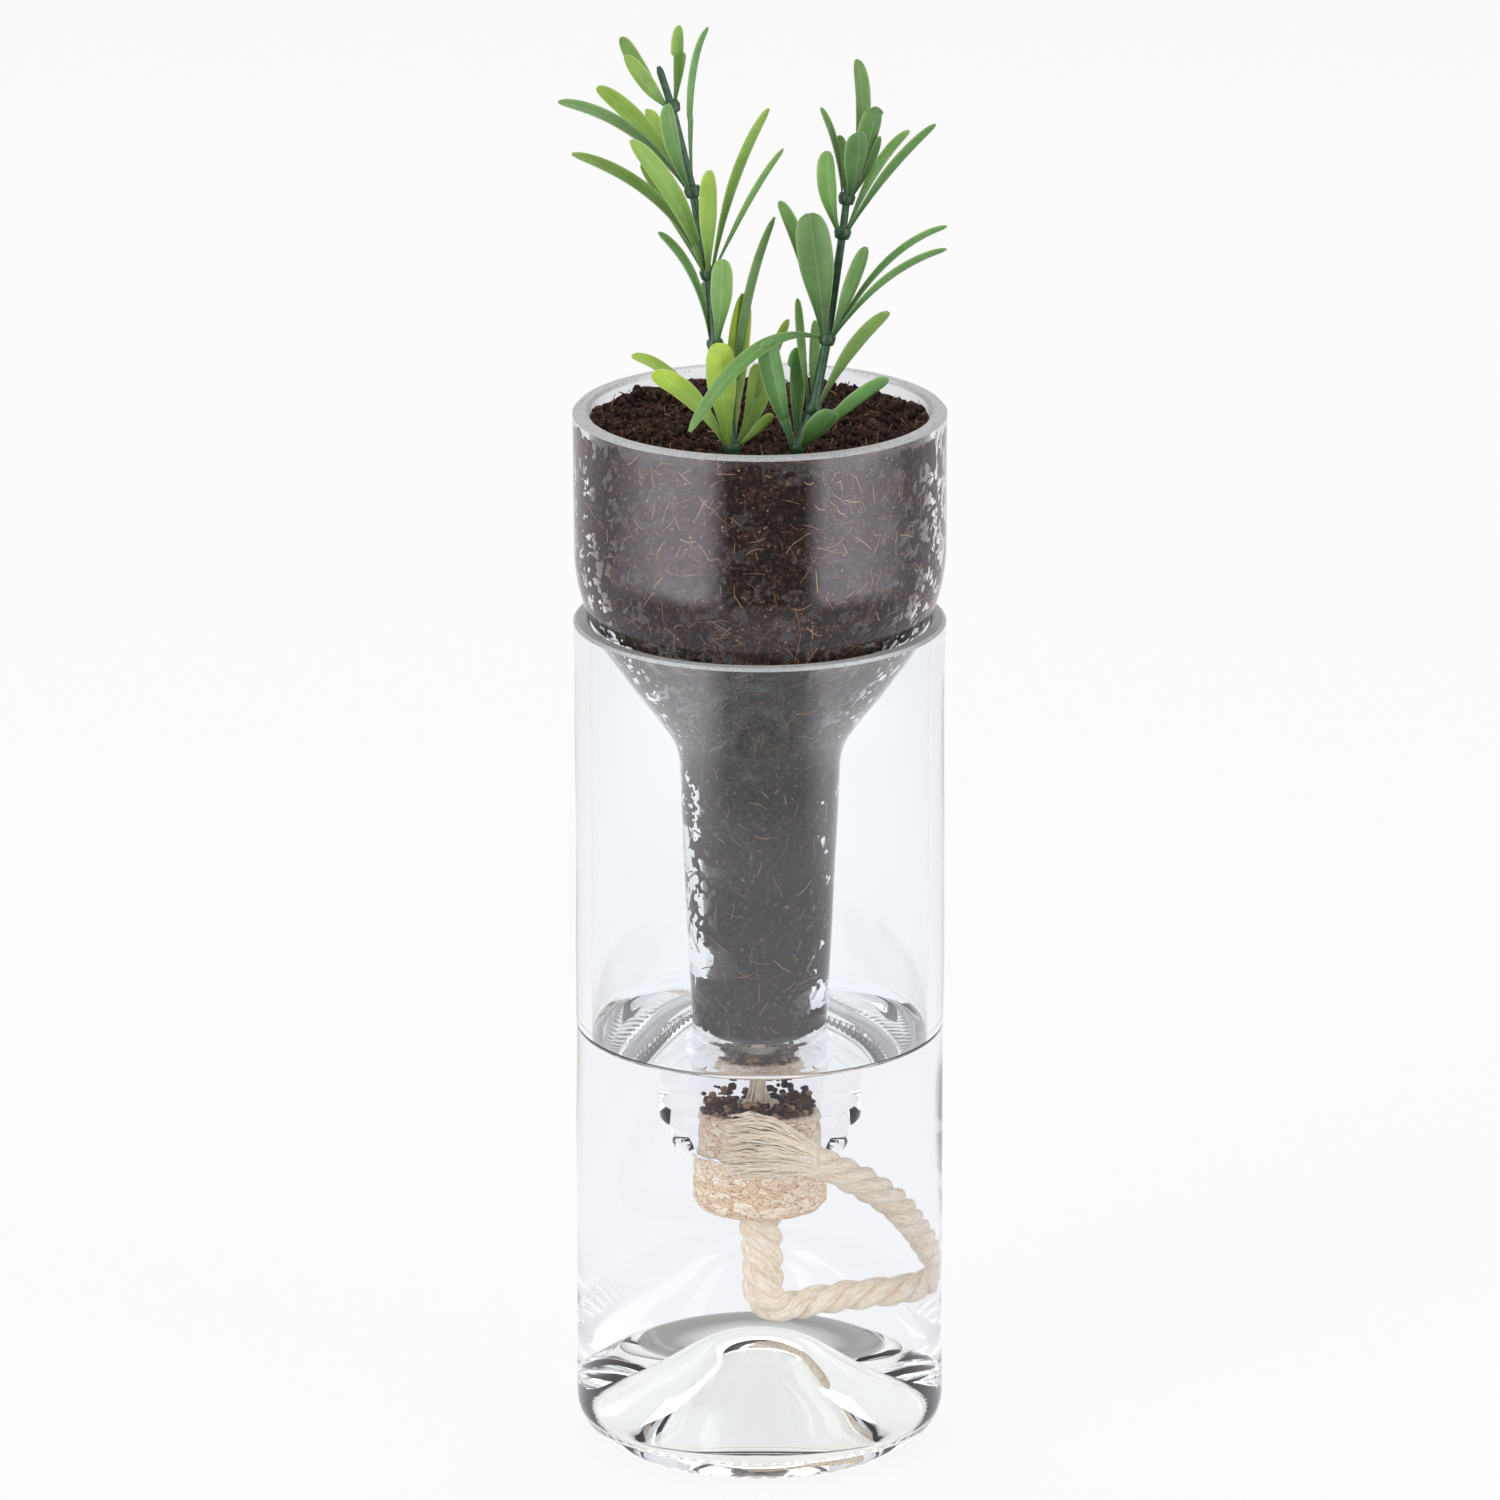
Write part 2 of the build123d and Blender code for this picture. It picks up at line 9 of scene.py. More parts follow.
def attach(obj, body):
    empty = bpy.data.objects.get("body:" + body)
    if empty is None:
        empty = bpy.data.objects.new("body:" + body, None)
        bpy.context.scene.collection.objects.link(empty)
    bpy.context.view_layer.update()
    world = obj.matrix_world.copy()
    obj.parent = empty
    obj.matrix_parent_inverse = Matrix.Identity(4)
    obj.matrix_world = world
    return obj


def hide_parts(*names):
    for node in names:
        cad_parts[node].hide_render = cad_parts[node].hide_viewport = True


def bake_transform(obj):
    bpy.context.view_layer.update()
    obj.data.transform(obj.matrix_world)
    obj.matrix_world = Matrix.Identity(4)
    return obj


# A self-watering planter made of a wine bottle cut in two. The lower part is the water jar. The
# upper part stands in it neck down, full of soil, with a bored cork in its mouth and a cotton rope
# that draws the water up. Two plastic sprigs stand in the soil. Sizes are in millimetres until
# they are turned to metres, and +Z is up with the front towards -Y.
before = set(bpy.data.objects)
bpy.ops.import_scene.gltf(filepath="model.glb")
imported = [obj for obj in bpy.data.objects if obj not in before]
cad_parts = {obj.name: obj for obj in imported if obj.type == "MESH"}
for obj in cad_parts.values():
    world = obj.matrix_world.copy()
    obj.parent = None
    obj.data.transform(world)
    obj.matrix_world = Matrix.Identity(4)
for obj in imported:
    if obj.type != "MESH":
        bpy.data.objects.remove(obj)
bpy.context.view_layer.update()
MM = 0.001

# The camera: two metres in front of the planter and a little above it, with a long lens, so that
# the rims show as flat ovals and the jar's sides stay upright.
scene = bpy.context.scene


def added(name, data):
    """A new object in the scene."""
    made = bpy.data.objects.new(name, data)
    scene.collection.objects.link(made)
    return made


CAMERA_ASIDE = -0.00197
camera = added("camera", bpy.data.cameras.new("camera"))
camera.location = (CAMERA_ASIDE, -2.0269, 0.7617)
aim = Vector((CAMERA_ASIDE, 0, 0.1456)) - camera.location
camera.rotation_euler = aim.to_track_quat("-Z", "Y").to_euler()
camera.data.lens = 251.8
scene.camera = camera

# The wick's free end: a three-strand cotton rope, laid to the left, that hangs out of the cork,
# bends on the jar's floor, leans on the wall and comes up again in front of the neck.
ROPE_EXIT = (0.0, 0.0, 50.3)
ROPE_ROUTE = [
    ROPE_EXIT,
    (0.6, -0.6, 41.0),
    (0.4, -2.0, 29.0),
    (10.5, -0.5, 32.2),
    (31.5, 4.0, 31.2),
    (29.5, -8.0, 45.0),
    (23.5, -19.5, 59.0),
    (9.4, -21.6, 67.2),
]
STRANDS = 3
STRAND_RADIUS = 1.58
STRAND_OFFSET = 1.67
STRAND_AROUND = 14
ROPE_LAY = 13.0
LINE_STEP = 0.5
FULL_TURN = 2 * math.pi


def linear(code):
    """An sRGB hex colour as the linear colour that a shader takes."""
    parts = [int(code[i : i + 2], 16) / 255 for i in (1, 3, 5)]
    return (*(p / 12.92 if p <= 0.04045 else ((p + 0.055) / 1.055) ** 2.4 for p in parts), 1.0)


def material(name):
    """A new empty material."""
    made = bpy.data.materials.new(name)
    made.use_nodes = True
    made.node_tree.nodes.clear()
    return made


def node(owner, kind, inputs=None, stops=(), **settings):
    """Adds a shader node with its settings, its colour stops and its inputs. An input is a value, a
    hex colour, an output, or a node, which stands for its first output."""
    tree = owner.node_tree
    made = tree.nodes.new("ShaderNode" + kind)
    for name, value in settings.items():
        setattr(made, name, value)
    for index, (position, colour) in enumerate(stops):
        ramp = made.color_ramp.elements
        stop = ramp[index] if index < 2 else ramp.new(position)
        stop.position = position
        stop.color = linear(colour) if isinstance(colour, str) else colour
    for key, value in (inputs or {}).items():
        if isinstance(value, bpy.types.Node):
            value = value.outputs[0]
        if isinstance(value, bpy.types.NodeSocket):
            tree.links.new(value, made.inputs[key])
        else:
            made.inputs[key].default_value = linear(value) if isinstance(value, str) else value
    return made


def unit(arrow):
    """An arrow's direction, as an arrow of length one."""
    return arrow / np.linalg.norm(arrow)


def carried(points):
    """The heading of a line at each point, and two crosswise directions carried along it."""
    points = np.asarray(points, float)
    headings = np.gradient(points, axis=0)
    headings /= np.linalg.norm(headings, axis=1)[:, None]
    side = np.cross(headings[0], (0.31, 0.9, 0.17))
    sides = []
    for heading in headings:
        side = unit(side - heading * (side @ heading))
        sides.append(side)
    sides = np.array(sides)
    return headings, sides, np.cross(headings, sides)


def tube(points, radii, around, tone=0.0):
    """A round bar along a line, as rings of points. Each point is marked with how far along it is,
    its place across, and a tone."""
    points = np.asarray(points, float)
    radii = np.broadcast_to(np.asarray(radii, float), len(points))
    _, side, other = carried(points)
    angles = np.arange(around) * FULL_TURN / around
    cos, sin = np.cos(angles), np.sin(angles)
    spokes = side[:, None] * cos[None, :, None] + other[:, None] * sin[None, :, None]
    rings = points[:, None] + spokes * radii[:, None, None]
    steps = np.linalg.norm(np.diff(points, axis=0), axis=1)
    marks = np.zeros((len(points), around, 4))
    marks[..., 0] = np.concatenate([[0], np.cumsum(steps)])[:, None]
    marks[..., 1] = radii[:, None] * cos
    marks[..., 2] = radii[:, None] * sin
    marks[..., 3] = tone
    return rings, marks


def skin(name, sections, finishes, body, nodes=(), slots=None, cut=35):
    """A mesh piece of one or more runs of rings in millimetres, each closed at both ends."""
    vertices, faces, marks = [], [], []
    base = 0
    for rings, mark in sections:
        count, around = rings.shape[:2]
        vertices.append(rings.reshape(-1, 3))
        marks.append(mark.reshape(-1, 4))
        starts, steps = base + np.arange(count - 1)[:, None] * around, np.arange(around)
        first, second = starts + steps, starts + (steps + 1) % around
        quads = np.stack([first, second, second + around, first + around], axis=-1).reshape(-1, 4)
        faces += quads.tolist()
        faces.append(list(range(base + around - 1, base - 1, -1)))
        faces.append(list(range(base + (count - 1) * around, base + count * around)))
        base += count * around
    mesh = bpy.data.meshes.new(name)
    mesh.from_pydata(np.concatenate(vertices) * MM, [], faces)
    return dressed(mesh, name, finishes, body, nodes, np.concatenate(marks), slots, cut)


def dressed(mesh, name, finishes, body, nodes, marks=None, slots=None, cut=35):
    """Makes the piece of a mesh, with its materials, marks and shading, and puts it on its body."""
    for finish in finishes:
        mesh.materials.append(finish)
    if slots is not None:
        mesh.polygons.foreach_set("material_index", slots)
    if marks is not None:
        layer = mesh.color_attributes.new("marks", "FLOAT_COLOR", "POINT")
        layer.data.foreach_set("color", marks.astype(np.float32).ravel())
    mesh.shade_smooth()
    mesh.set_sharp_from_angle(angle=math.radians(cut))
    piece = added(name, mesh)
    if body:
        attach(piece, body)
    if nodes:
        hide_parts(*nodes)
    return piece


# Undyed cotton: carded yarns twisted into strands, then laid into rope. Its look is a soft cream,
# darker in the grooves, with the yarns' fine lines running along each strand.
YARN_WIDTH = 0.35
MULTIPLY = {"data_type": "RGBA", "blend_type": "MULTIPLY"}
cotton = material("undyed_cotton_rope")
mark = node(cotton, "Attribute", attribute_name="marks")
shift = node(cotton, "Math", {0: mark.outputs["Alpha"], 1: 90.0}, operation="MULTIPLY")
own = node(cotton, "CombineXYZ", {0: shift, 1: shift})
placed = node(cotton, "VectorMath", {0: mark.outputs["Vector"], 1: own}, operation="ADD")
squeeze = node(cotton, "VectorMath", {0: placed, 1: (0.25, 1.0, 1.0)}, operation="MULTIPLY")
yarns = node(cotton, "TexNoise", {
    "Vector": squeeze, "Scale": 1 / YARN_WIDTH, "Detail": 3.0, "Roughness": 0.6,
})
patch = node(cotton, "TexNoise", {"Vector": placed, "Scale": 0.35, "Detail": 2.0})
yarn_tone = node(cotton, "ValToRGB", {"Fac": yarns}, stops=[(0.3, "#e0ccb0"), (0.6, "#fff6e8")])
patch_tone = node(cotton, "ValToRGB", {"Fac": patch}, stops=[(0.35, "#f8f0e2"), (0.65, "#ffffff")])
cotton_tone = node(cotton, "Mix", {0: 0.6, 6: yarn_tone, 7: patch_tone}, **MULTIPLY)
yarn_bump = node(cotton, "Bump", {"Height": yarns, "Distance": 0.25 * MM, "Strength": 0.8})
cotton_surface = node(cotton, "BsdfPrincipled", {
    "Base Color": cotton_tone.outputs[2], "Roughness": 0.92, "Normal": yarn_bump,
    "Sheen Weight": 0.25, "Sheen Roughness": 0.6, "Specular IOR Level": 0.2,
})
node(cotton, "OutputMaterial", {"Surface": cotton_surface})

route = bpy.data.curves.new("rope_route", "CURVE")
route.dimensions = "3D"
spline = route.splines.new("NURBS")
spline.points.add(len(ROPE_ROUTE) - 1)
for point, place in zip(spline.points, ROPE_ROUTE):
    point.co = (*(Vector(place) * MM), 1.0)
spline.order_u = 3
spline.use_endpoint_u = True
spline.resolution_u = 24
route_object = bpy.data.objects.new("rope_route", route)
read = bpy.data.meshes.new_from_object(route_object)
rope_line = np.array([v.co for v in read.vertices]) / MM
bpy.data.objects.remove(route_object)


def evenly(points, step):
    """Points at even steps along a line."""
    points = np.asarray(points, float)
    reach = np.concatenate([[0], np.cumsum(np.linalg.norm(np.diff(points, axis=0), axis=1))])
    places = np.linspace(0, reach[-1], max(2, round(reach[-1] / step) + 1))
    return np.stack([np.interp(places, reach, points[:, i]) for i in range(3)], axis=1)


def strands(line, wander=0.0):
    """The rope's strands, each a bar that winds left-handed round the line."""
    line = evenly(line, LINE_STEP)
    _, side, other = carried(line)
    along = np.arange(len(line)) * LINE_STEP
    made = []
    for index in range(STRANDS):
        turn = -FULL_TURN * (along / ROPE_LAY + index / STRANDS)
        reach = STRAND_OFFSET * (1 + wander * np.sin(along / 2.3 + index))
        centre = line + side * (np.cos(turn) * reach)[:, None]
        centre = centre + other * (np.sin(turn) * reach)[:, None]
        swell = STRAND_RADIUS * (1 + 0.04 * np.sin(along * 1.7 + 2 * index))
        made.append(tube(centre, swell, STRAND_AROUND, tone=index / STRANDS))
    return made


rope_line = evenly(rope_line, LINE_STEP)
rope = skin("wick_rope", strands(rope_line, 0.04), [cotton], None, ["wick_tail"])
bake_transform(rope)

# The rope's loosened end: its strands have come undone into yarns, which fan out to the left in
# front of the bottle's mouth.
TUFT_YARNS = 340
YARN_AROUND = 6
TUFT_LINE = [
    (10.6, -21.5, 66.6), (6.6, -21.9, 68.6), (2.4, -22.2, 70.0), (-1.8, -22.2, 70.5),
    (-6.4, -21.8, 69.9),
]
TUFT_HEIGHTS = (3.1, 4.6, 6.4, 7.0, 6.4)
TUFT_DEPTHS = (3.0, 3.3, 3.5, 3.4, 2.6)
chance = random.Random(4)
tuft_line = evenly(TUFT_LINE, 0.35)
tuft_share = np.linspace(0, 1, len(tuft_line))
tuft_stops = np.linspace(0, 1, len(TUFT_LINE))
tuft_heights = np.interp(tuft_share, tuft_stops, TUFT_HEIGHTS)
tuft_depths = np.interp(tuft_share, tuft_stops, TUFT_DEPTHS)
tuft = []
for index in range(TUFT_YARNS):
    reach = chance.random() ** 0.4
    start = chance.uniform(0, FULL_TURN)
    twist = chance.uniform(0.0, 0.6)
    count = round(len(tuft_line) * chance.uniform(0.55, 1.0) ** 0.7)
    share = tuft_share[:count]
    turn = start + twist * share
    waves = [
        chance.uniform(0.05, 0.34) * np.sin(share * chance.uniform(8, 26) + chance.uniform(0, 6))
        for _ in range(2)
    ]
    line = tuft_line[:count].copy()
    line[:, 2] += tuft_heights[:count] * reach * np.sin(turn) + waves[0] * (0.3 + share)
    line[:, 1] += tuft_depths[:count] * reach * np.cos(turn) + waves[1] * (0.3 + share)
    line[:, 0] -= 1.2 * share * (1 - reach)
    thin = chance.uniform(0.16, 0.34) * np.linspace(1.0, 0.55, count)
    tuft.append(tube(line, thin, YARN_AROUND, tone=chance.random()))
rope_tuft = skin("wick_tuft", tuft, [cotton], "cork", ["wick_frayed_end"])

# The wick inside: the same rope goes up through the cork. Above it the strands come apart into
# loose yarns, which part and run on into the soil.
WICK_LOW, WICK_OPENS, WICK_HIGH = 50.4, 73.5, 100.0
WICK_YARNS = 26
core = strands([(0, 0, WICK_LOW), (0, 0, WICK_OPENS)])
for index in range(WICK_YARNS):
    start = chance.uniform(0, FULL_TURN)
    spread = chance.uniform(0.3, 1.0)
    line = []
    for share in np.linspace(0, 1, 14):
        reach = spread * (2.6 - 1.4 * math.sin(math.pi * min(1, share * 1.8)))
        turn = start + 1.5 * share
        height = WICK_OPENS - 1 + share * (WICK_HIGH - WICK_OPENS)
        line.append((reach * math.cos(turn), reach * math.sin(turn), height))
    core.append(tube(line, chance.uniform(0.18, 0.34), YARN_AROUND, tone=chance.random()))
skin("wick_core_rope", core, [cotton], "cork", ["wick_core"])

# The bottle glass, both parts: white flint glass, blown in a mould and cut with a wetted saw. It is
# clear with a faint grey-blue cast, and only its thick base shows the green of its iron. The cut
# rims are ground, which leaves them grey and frosted.
BOTTLE_RADIUS = 37.5
BORE_RADIUS = 34.2
RIM_BEVEL = 0.6
GLASS_AROUND, GLASS_STEP = 256, 1.2
GLASS_IOR = 1.5
WATER_IOR = 1.33


def glass(name, ior, tint, roughness=0.0, grit=None):
    """Bottle glass. Its surface is smooth, or dulled by a grit of a size in millimetres."""
    made = material(name)
    inputs = {"Base Color": tint, "Roughness": roughness, "IOR": ior, "Transmission Weight": 1.0}
    if grit:
        place = node(made, "NewGeometry")
        pits = node(made, "TexNoise", {
            "Vector": place, "Scale": 1 / (grit * MM), "Detail": 4.0, "Roughness": 0.7,
        })
        rough = node(made, "Bump", {"Height": pits, "Distance": 0.25 * MM, "Strength": 1.0})
        tone = node(made, "ValToRGB", {"Fac": pits}, stops=[(0.3, "#a4a4a8"), (0.5, "#f8f8fc")])
        inputs.update({"Normal": rough, "Base Color": tone, "Transmission Weight": 0.55})
    surface = node(made, "BsdfPrincipled", inputs)
    node(made, "OutputMaterial", {"Surface": surface})
    return made


bottle_glass = glass("flint_bottle_glass", GLASS_IOR, "#fbfdff")
ground_glass = glass("ground_rim_glass", GLASS_IOR, "#f8fafd", roughness=0.45, grit=0.5)
# Where the glass is wet, light passes between glass and water, a much smaller step in index.
wet_glass = glass("wet_bottle_glass", GLASS_IOR / WATER_IOR, "#f9f9fb")
# The base is thick enough to show the glass's own yellow-green.
base_glass = glass("thick_base_glass", GLASS_IOR, "#fafbf8")
wet_base_glass = glass("wet_thick_base_glass", GLASS_IOR / WATER_IOR, "#fafbf8")


def rounded(corners, step):
    """A line in radius and height through corners, each rounded by its own radius."""
    bends = []
    for index, (x, z, radius) in enumerate(corners):
        here = np.array((x, z), float)
        if radius == 0:
            bends.append(here)
            continue
        back = unit(np.array(corners[index - 1][:2]) - here)
        on = unit(np.array(corners[index + 1][:2]) - here)
        half = math.acos(np.clip(back @ on, -1, 1)) / 2
        centre = here + unit(back + on) * radius / math.sin(half)
        first, last = here + back * radius / math.tan(half), here + on * radius / math.tan(half)
        start = math.atan2(*(first - centre)[::-1])
        sweep = (math.atan2(*(last - centre)[::-1]) - start + math.pi) % FULL_TURN - math.pi
        for share in np.linspace(0, 1, max(3, round(abs(sweep) * radius / step) + 1)):
            turn = start + sweep * share
            bends.append(centre + radius * np.array((math.cos(turn), math.sin(turn))))
    line = bends[:1]
    for place in bends[1:]:
        start = line[-1]
        run = np.linalg.norm(place - start)
        if run > 1e-6:
            parts = max(1, round(run / step))
            line += [start + (place - start) * share for share in np.arange(1, parts + 1) / parts]
    return np.array(line)


def spun(line, around):
    """Rings of points from a line in radius and height that turns about the upright axis."""
    angles = np.arange(around) * FULL_TURN / around
    x, y = line[:, :1] * np.cos(angles), line[:, :1] * np.sin(angles)
    return np.stack([x, y, np.broadcast_to(line[:, 1:], x.shape)], axis=-1)


def turned(name, line, around, finishes, body, nodes=(), slot_of=None, shape=None, cut=35):
    """A piece turned about the upright axis, whose line ends on it. A shape may rework it."""
    rings = spun(line, around)
    if shape is not None:
        rings = shape(rings)
    slots = None
    if slot_of is not None:
        middles = (line[1:] + line[:-1]) / 2
        per_run = [slot_of(index, *middle) for index, middle in enumerate(middles)]
        slots = np.concatenate([np.repeat(per_run, around), [per_run[0], per_run[-1]]])
        slots = slots.astype(np.int32)
    marks = np.zeros((*rings.shape[:2], 4))
    return skin(name, [(rings, marks)], finishes, body, nodes, slots, cut)


RIPPLE_FADE = 8.0


def between(value, low, high):
    """How far a value has come from low to high, as a share from 0 to 1."""
    return min(1.0, max(0.0, (value - low) / (high - low)))


def reaches(rings):
    """Each point of the rings, open to change, and its distance from the axis."""
    for point in rings.reshape(-1, 3):
        yield point, math.hypot(point[0], point[1])


def rippled(amount, size, low, high):
    """A shape that ripples a turned wall by a tenth of a millimetre between two heights, as blown
    glass does. The outer face only ripples inwards, so that the bottle stays 75 mm across."""
    def work(rings):
        for point, reach in reaches(rings):
            share = min(1.0, (point[2] - low) / RIPPLE_FADE, (high - point[2]) / RIPPLE_FADE)
            if reach > 1 and share > 0:
                inwards = 0.75 * between(reach, 35.0, 37.0)
                push = amount * share * (noise.noise(Vector(point) / size) - inwards)
                point[:2] *= (reach + push) / reach
        return rings
    return work


# The water jar: the bottle's lower part. The glass is thick at the heel and around the punt, the
# hollow pressed up into the base, and the base ring carries a band of small knurls.
JAR_HEIGHT = 173.67
PUNT_RADIUS, PUNT_CROWN, PUNT_HEIGHT = 26.0, 5.5, 23.0
FLOOR_HEIGHT, FLOOR_BALL = 28.0, 28.9
WATER_LEVEL, WATER_CLIMB = 86.5, 1.6
GUTTER_RADIUS, GUTTER_HEIGHT = 29.2, 4.86
BASE_TOP, BASE_RADIUS = 9.0, 33.5
KNURLS, KNURL_HEIGHT = 64, 0.35
AXIS = 0.05


def dome(ball, top, low, high, count):
    """Points on a domed surface between two radii, as corners with no rounding."""
    return [(r, top - ball + math.sqrt(ball**2 - r**2), 0) for r in np.linspace(low, high, count)]


floor_line = dome(FLOOR_BALL, FLOOR_HEIGHT, 27.7, AXIS, 40)
jar_line = rounded([
    (AXIS, PUNT_HEIGHT, 0), (PUNT_CROWN, PUNT_HEIGHT, 12.0), (PUNT_RADIUS, 0, 0.4),
    (BOTTLE_RADIUS, 0, 9.0),
    (BOTTLE_RADIUS, JAR_HEIGHT - RIM_BEVEL, 0), (BOTTLE_RADIUS - RIM_BEVEL, JAR_HEIGHT, 0),
    (BORE_RADIUS + RIM_BEVEL, JAR_HEIGHT, 0), (BORE_RADIUS, JAR_HEIGHT - RIM_BEVEL, 0),
    (BORE_RADIUS, WATER_LEVEL + WATER_CLIMB, 0),
    (BORE_RADIUS, GUTTER_HEIGHT, 3.3), (GUTTER_RADIUS, GUTTER_HEIGHT, 1.6),
    *floor_line,
], GLASS_STEP)
jar_top = int(np.argmax(jar_line[:, 1]))


def jar_slot(index, radius, height):
    """Ground on the rim, wet inside up to the water, and bare elsewhere, with the base apart."""
    if height > JAR_HEIGHT - RIM_BEVEL:
        return 1
    if index > jar_top:
        wall = 2 if height < WATER_LEVEL + WATER_CLIMB else 0
        return 4 if radius < BASE_RADIUS else wall
    return 3 if height < BASE_TOP or radius < BASE_RADIUS else 0


def jar_shape(rings):
    """Ripples the jar's wall and presses the knurls into its base ring."""
    rings = rippled(0.22, 26.0, 14.0, JAR_HEIGHT - 2)(rings)
    for point, reach in reaches(rings):
        if PUNT_RADIUS < reach < BASE_RADIUS and point[2] < 2.0:
            knurl = max(0.0, math.sin(math.atan2(point[1], point[0]) * KNURLS))
            point[2] += KNURL_HEIGHT * knurl * min(1.0, (reach - PUNT_RADIUS) / 0.8)
    return rings


turned(
    "jar_glass", jar_line, GLASS_AROUND,
    [bottle_glass, ground_glass, wet_glass, base_glass, wet_base_glass],
    "jar", ["reservoir_jar"], jar_slot, jar_shape,
)

# The water: still tap water. It climbs the glass a little all round, and light passes straight
# between it and the wet glass, so only its surface bends what is seen.
water = material("still_water")
water_surface = node(water, "BsdfPrincipled", {
    "Base Color": "#f6faff", "Roughness": 0.0, "IOR": WATER_IOR, "Transmission Weight": 1.0,
})
node(water, "OutputMaterial", {"Surface": water_surface})
water_side = material("water_against_glass")
side_surface = node(water_side, "BsdfPrincipled", {
    "Base Color": "#ffffff", "Roughness": 0.0, "IOR": 1.0, "Transmission Weight": 1.0,
    "Specular IOR Level": 0.0,
})
node(water_side, "OutputMaterial", {"Surface": side_surface})
WATER_HOLD = 0.06
water_radius = BORE_RADIUS - WATER_HOLD
climb = [
    (r, WATER_LEVEL + WATER_CLIMB * math.exp(r - water_radius), 0)
    for r in np.linspace(water_radius, 28, 16)
]
water_line = rounded([
    *((r, z + WATER_HOLD, 0) for r, z, _ in reversed(floor_line)),
    (water_radius, GUTTER_HEIGHT + WATER_HOLD, 3.24),
    (GUTTER_RADIUS, GUTTER_HEIGHT + WATER_HOLD, 1.6),
    *climb,
    (AXIS, WATER_LEVEL, 0),
], GLASS_STEP)
water_edge = int(np.argmax(water_line[:, 1]))
turned("jar_water", water_line, GLASS_AROUND, [water, water_side], "jar", ["water"],
       lambda index, radius, height: 1 if index < water_edge else 0)

# The funnel: the bottle's upper part, neck down. From the ground rim the skirt runs down to the
# shoulder, and the neck tapers to the bottle's mouth, with its band, groove and lip.
FUNNEL_RIM = 216.8
MOUTH = 63.3
SHOULDER_CORNER, NECK_CORNER = 177.63, 147.27
INNER_SHOULDER_CORNER, INNER_NECK_CORNER = 178.67, 147.8
BAND_RADIUS, LIP_RADIUS, MOUTH_RADIUS, NECK_BORE = 15.0, 13.2, 9.25, 10.2
funnel_corners = [
    (BOTTLE_RADIUS - RIM_BEVEL, FUNNEL_RIM, 0),
    (BOTTLE_RADIUS, FUNNEL_RIM - RIM_BEVEL, 0),
    (BOTTLE_RADIUS, SHOULDER_CORNER, 35.0),
    (16.4, NECK_CORNER, 14.0),
    (13.62, WATER_LEVEL, 0),
    (13.5, MOUTH + 20.5, 0.8),
    (BAND_RADIUS, MOUTH + 18.9, 0.8),
    (BAND_RADIUS, MOUTH + 10.4, 0),
    (BAND_RADIUS - 0.5, MOUTH + 9.6, 0),
    (BAND_RADIUS, MOUTH + 8.8, 0),
    (BAND_RADIUS, MOUTH + 6.0, 0.8),
    (LIP_RADIUS, MOUTH + 6.0, 0.3),
    (LIP_RADIUS, MOUTH, 1.6),
    (MOUTH_RADIUS, MOUTH, 0.8),
    (MOUTH_RADIUS, MOUTH + 9.6, 3.0),
    (NECK_BORE, MOUTH + 20.0, 3.0),
    (10.31, WATER_LEVEL, 0),
    (12.8, INNER_NECK_CORNER, 17.3),
    (BORE_RADIUS, INNER_SHOULDER_CORNER, 31.7),
    (BORE_RADIUS, FUNNEL_RIM - RIM_BEVEL, 0),
    (BORE_RADIUS + RIM_BEVEL, FUNNEL_RIM, 0),
    (BOTTLE_RADIUS - RIM_BEVEL, FUNNEL_RIM, 0),
]
funnel_line = rounded(funnel_corners[::-1], GLASS_STEP)


def funnel_slot(index, radius, height):
    """Ground on the rim, wet on the neck below the water, and bare elsewhere."""
    if height > FUNNEL_RIM - RIM_BEVEL:
        return 1
    return 2 if height < WATER_LEVEL else 0


def ring_piece(name, line, around, finishes, body, nodes, slot_of, shape):
    """A turned piece whose line closes on itself, so that it has no ends."""
    line = line[:-1]
    rings = shape(spun(line, around))
    here, one = np.arange(len(line))[:, None] * around, np.arange(around)
    after, two = np.roll(here, -1), np.roll(one, -1)
    faces = np.stack([here + one, here + two, after + two, after + one], axis=-1).reshape(-1, 4)
    mesh = bpy.data.meshes.new(name)
    mesh.from_pydata(rings.reshape(-1, 3) * MM, [], faces.tolist())
    middles = (line + np.roll(line, -1, axis=0)) / 2
    slots = [slot_of(index, *middle) for index, middle in enumerate(middles)]
    slots = np.repeat(slots, around).astype(np.int32)
    return dressed(mesh, name, finishes, body, nodes, None, slots)


ring_piece(
    "funnel_glass", funnel_line, GLASS_AROUND, [bottle_glass, ground_glass, wet_glass],
    "funnel", ["planter_funnel"], funnel_slot,
    rippled(0.16, 22.0, MOUTH + 22, FUNNEL_RIM - 2),
)

# The cork: pressed from cork granules and bored for the rope. The plug sits in the bottle's mouth,
# and the wider rounded end stands out below it.
CORK_LOW, CORK_HIGH, CORK_SHOULDER = 50.3, 72.5, 63.0
CORK_BORE, PLUG_RADIUS, CORK_RADIUS = 3.4, 9.17, 10.1
GRANULE, FLECK = 2.2, 0.7
cork = material("pressed_cork_granules")
place = node(cork, "NewGeometry")
stretch = node(cork, "VectorMath", {0: place, 1: (1.0, 1.0, 1.8)}, operation="MULTIPLY")
granules = {"Vector": stretch, "Scale": 1 / (GRANULE * MM), "Randomness": 1.0}
grains = node(cork, "TexVoronoi", granules).outputs["Color"]
seams = node(cork, "TexVoronoi", granules, feature="DISTANCE_TO_EDGE")
flecks = node(cork, "TexNoise", {
    "Vector": stretch, "Scale": 1 / (FLECK * MM), "Detail": 4.0, "Roughness": 0.65,
})
grain_tone = node(cork, "ValToRGB", {"Fac": grains}, stops=[(0.15, "#e9cdab"), (0.8, "#fff2df")])
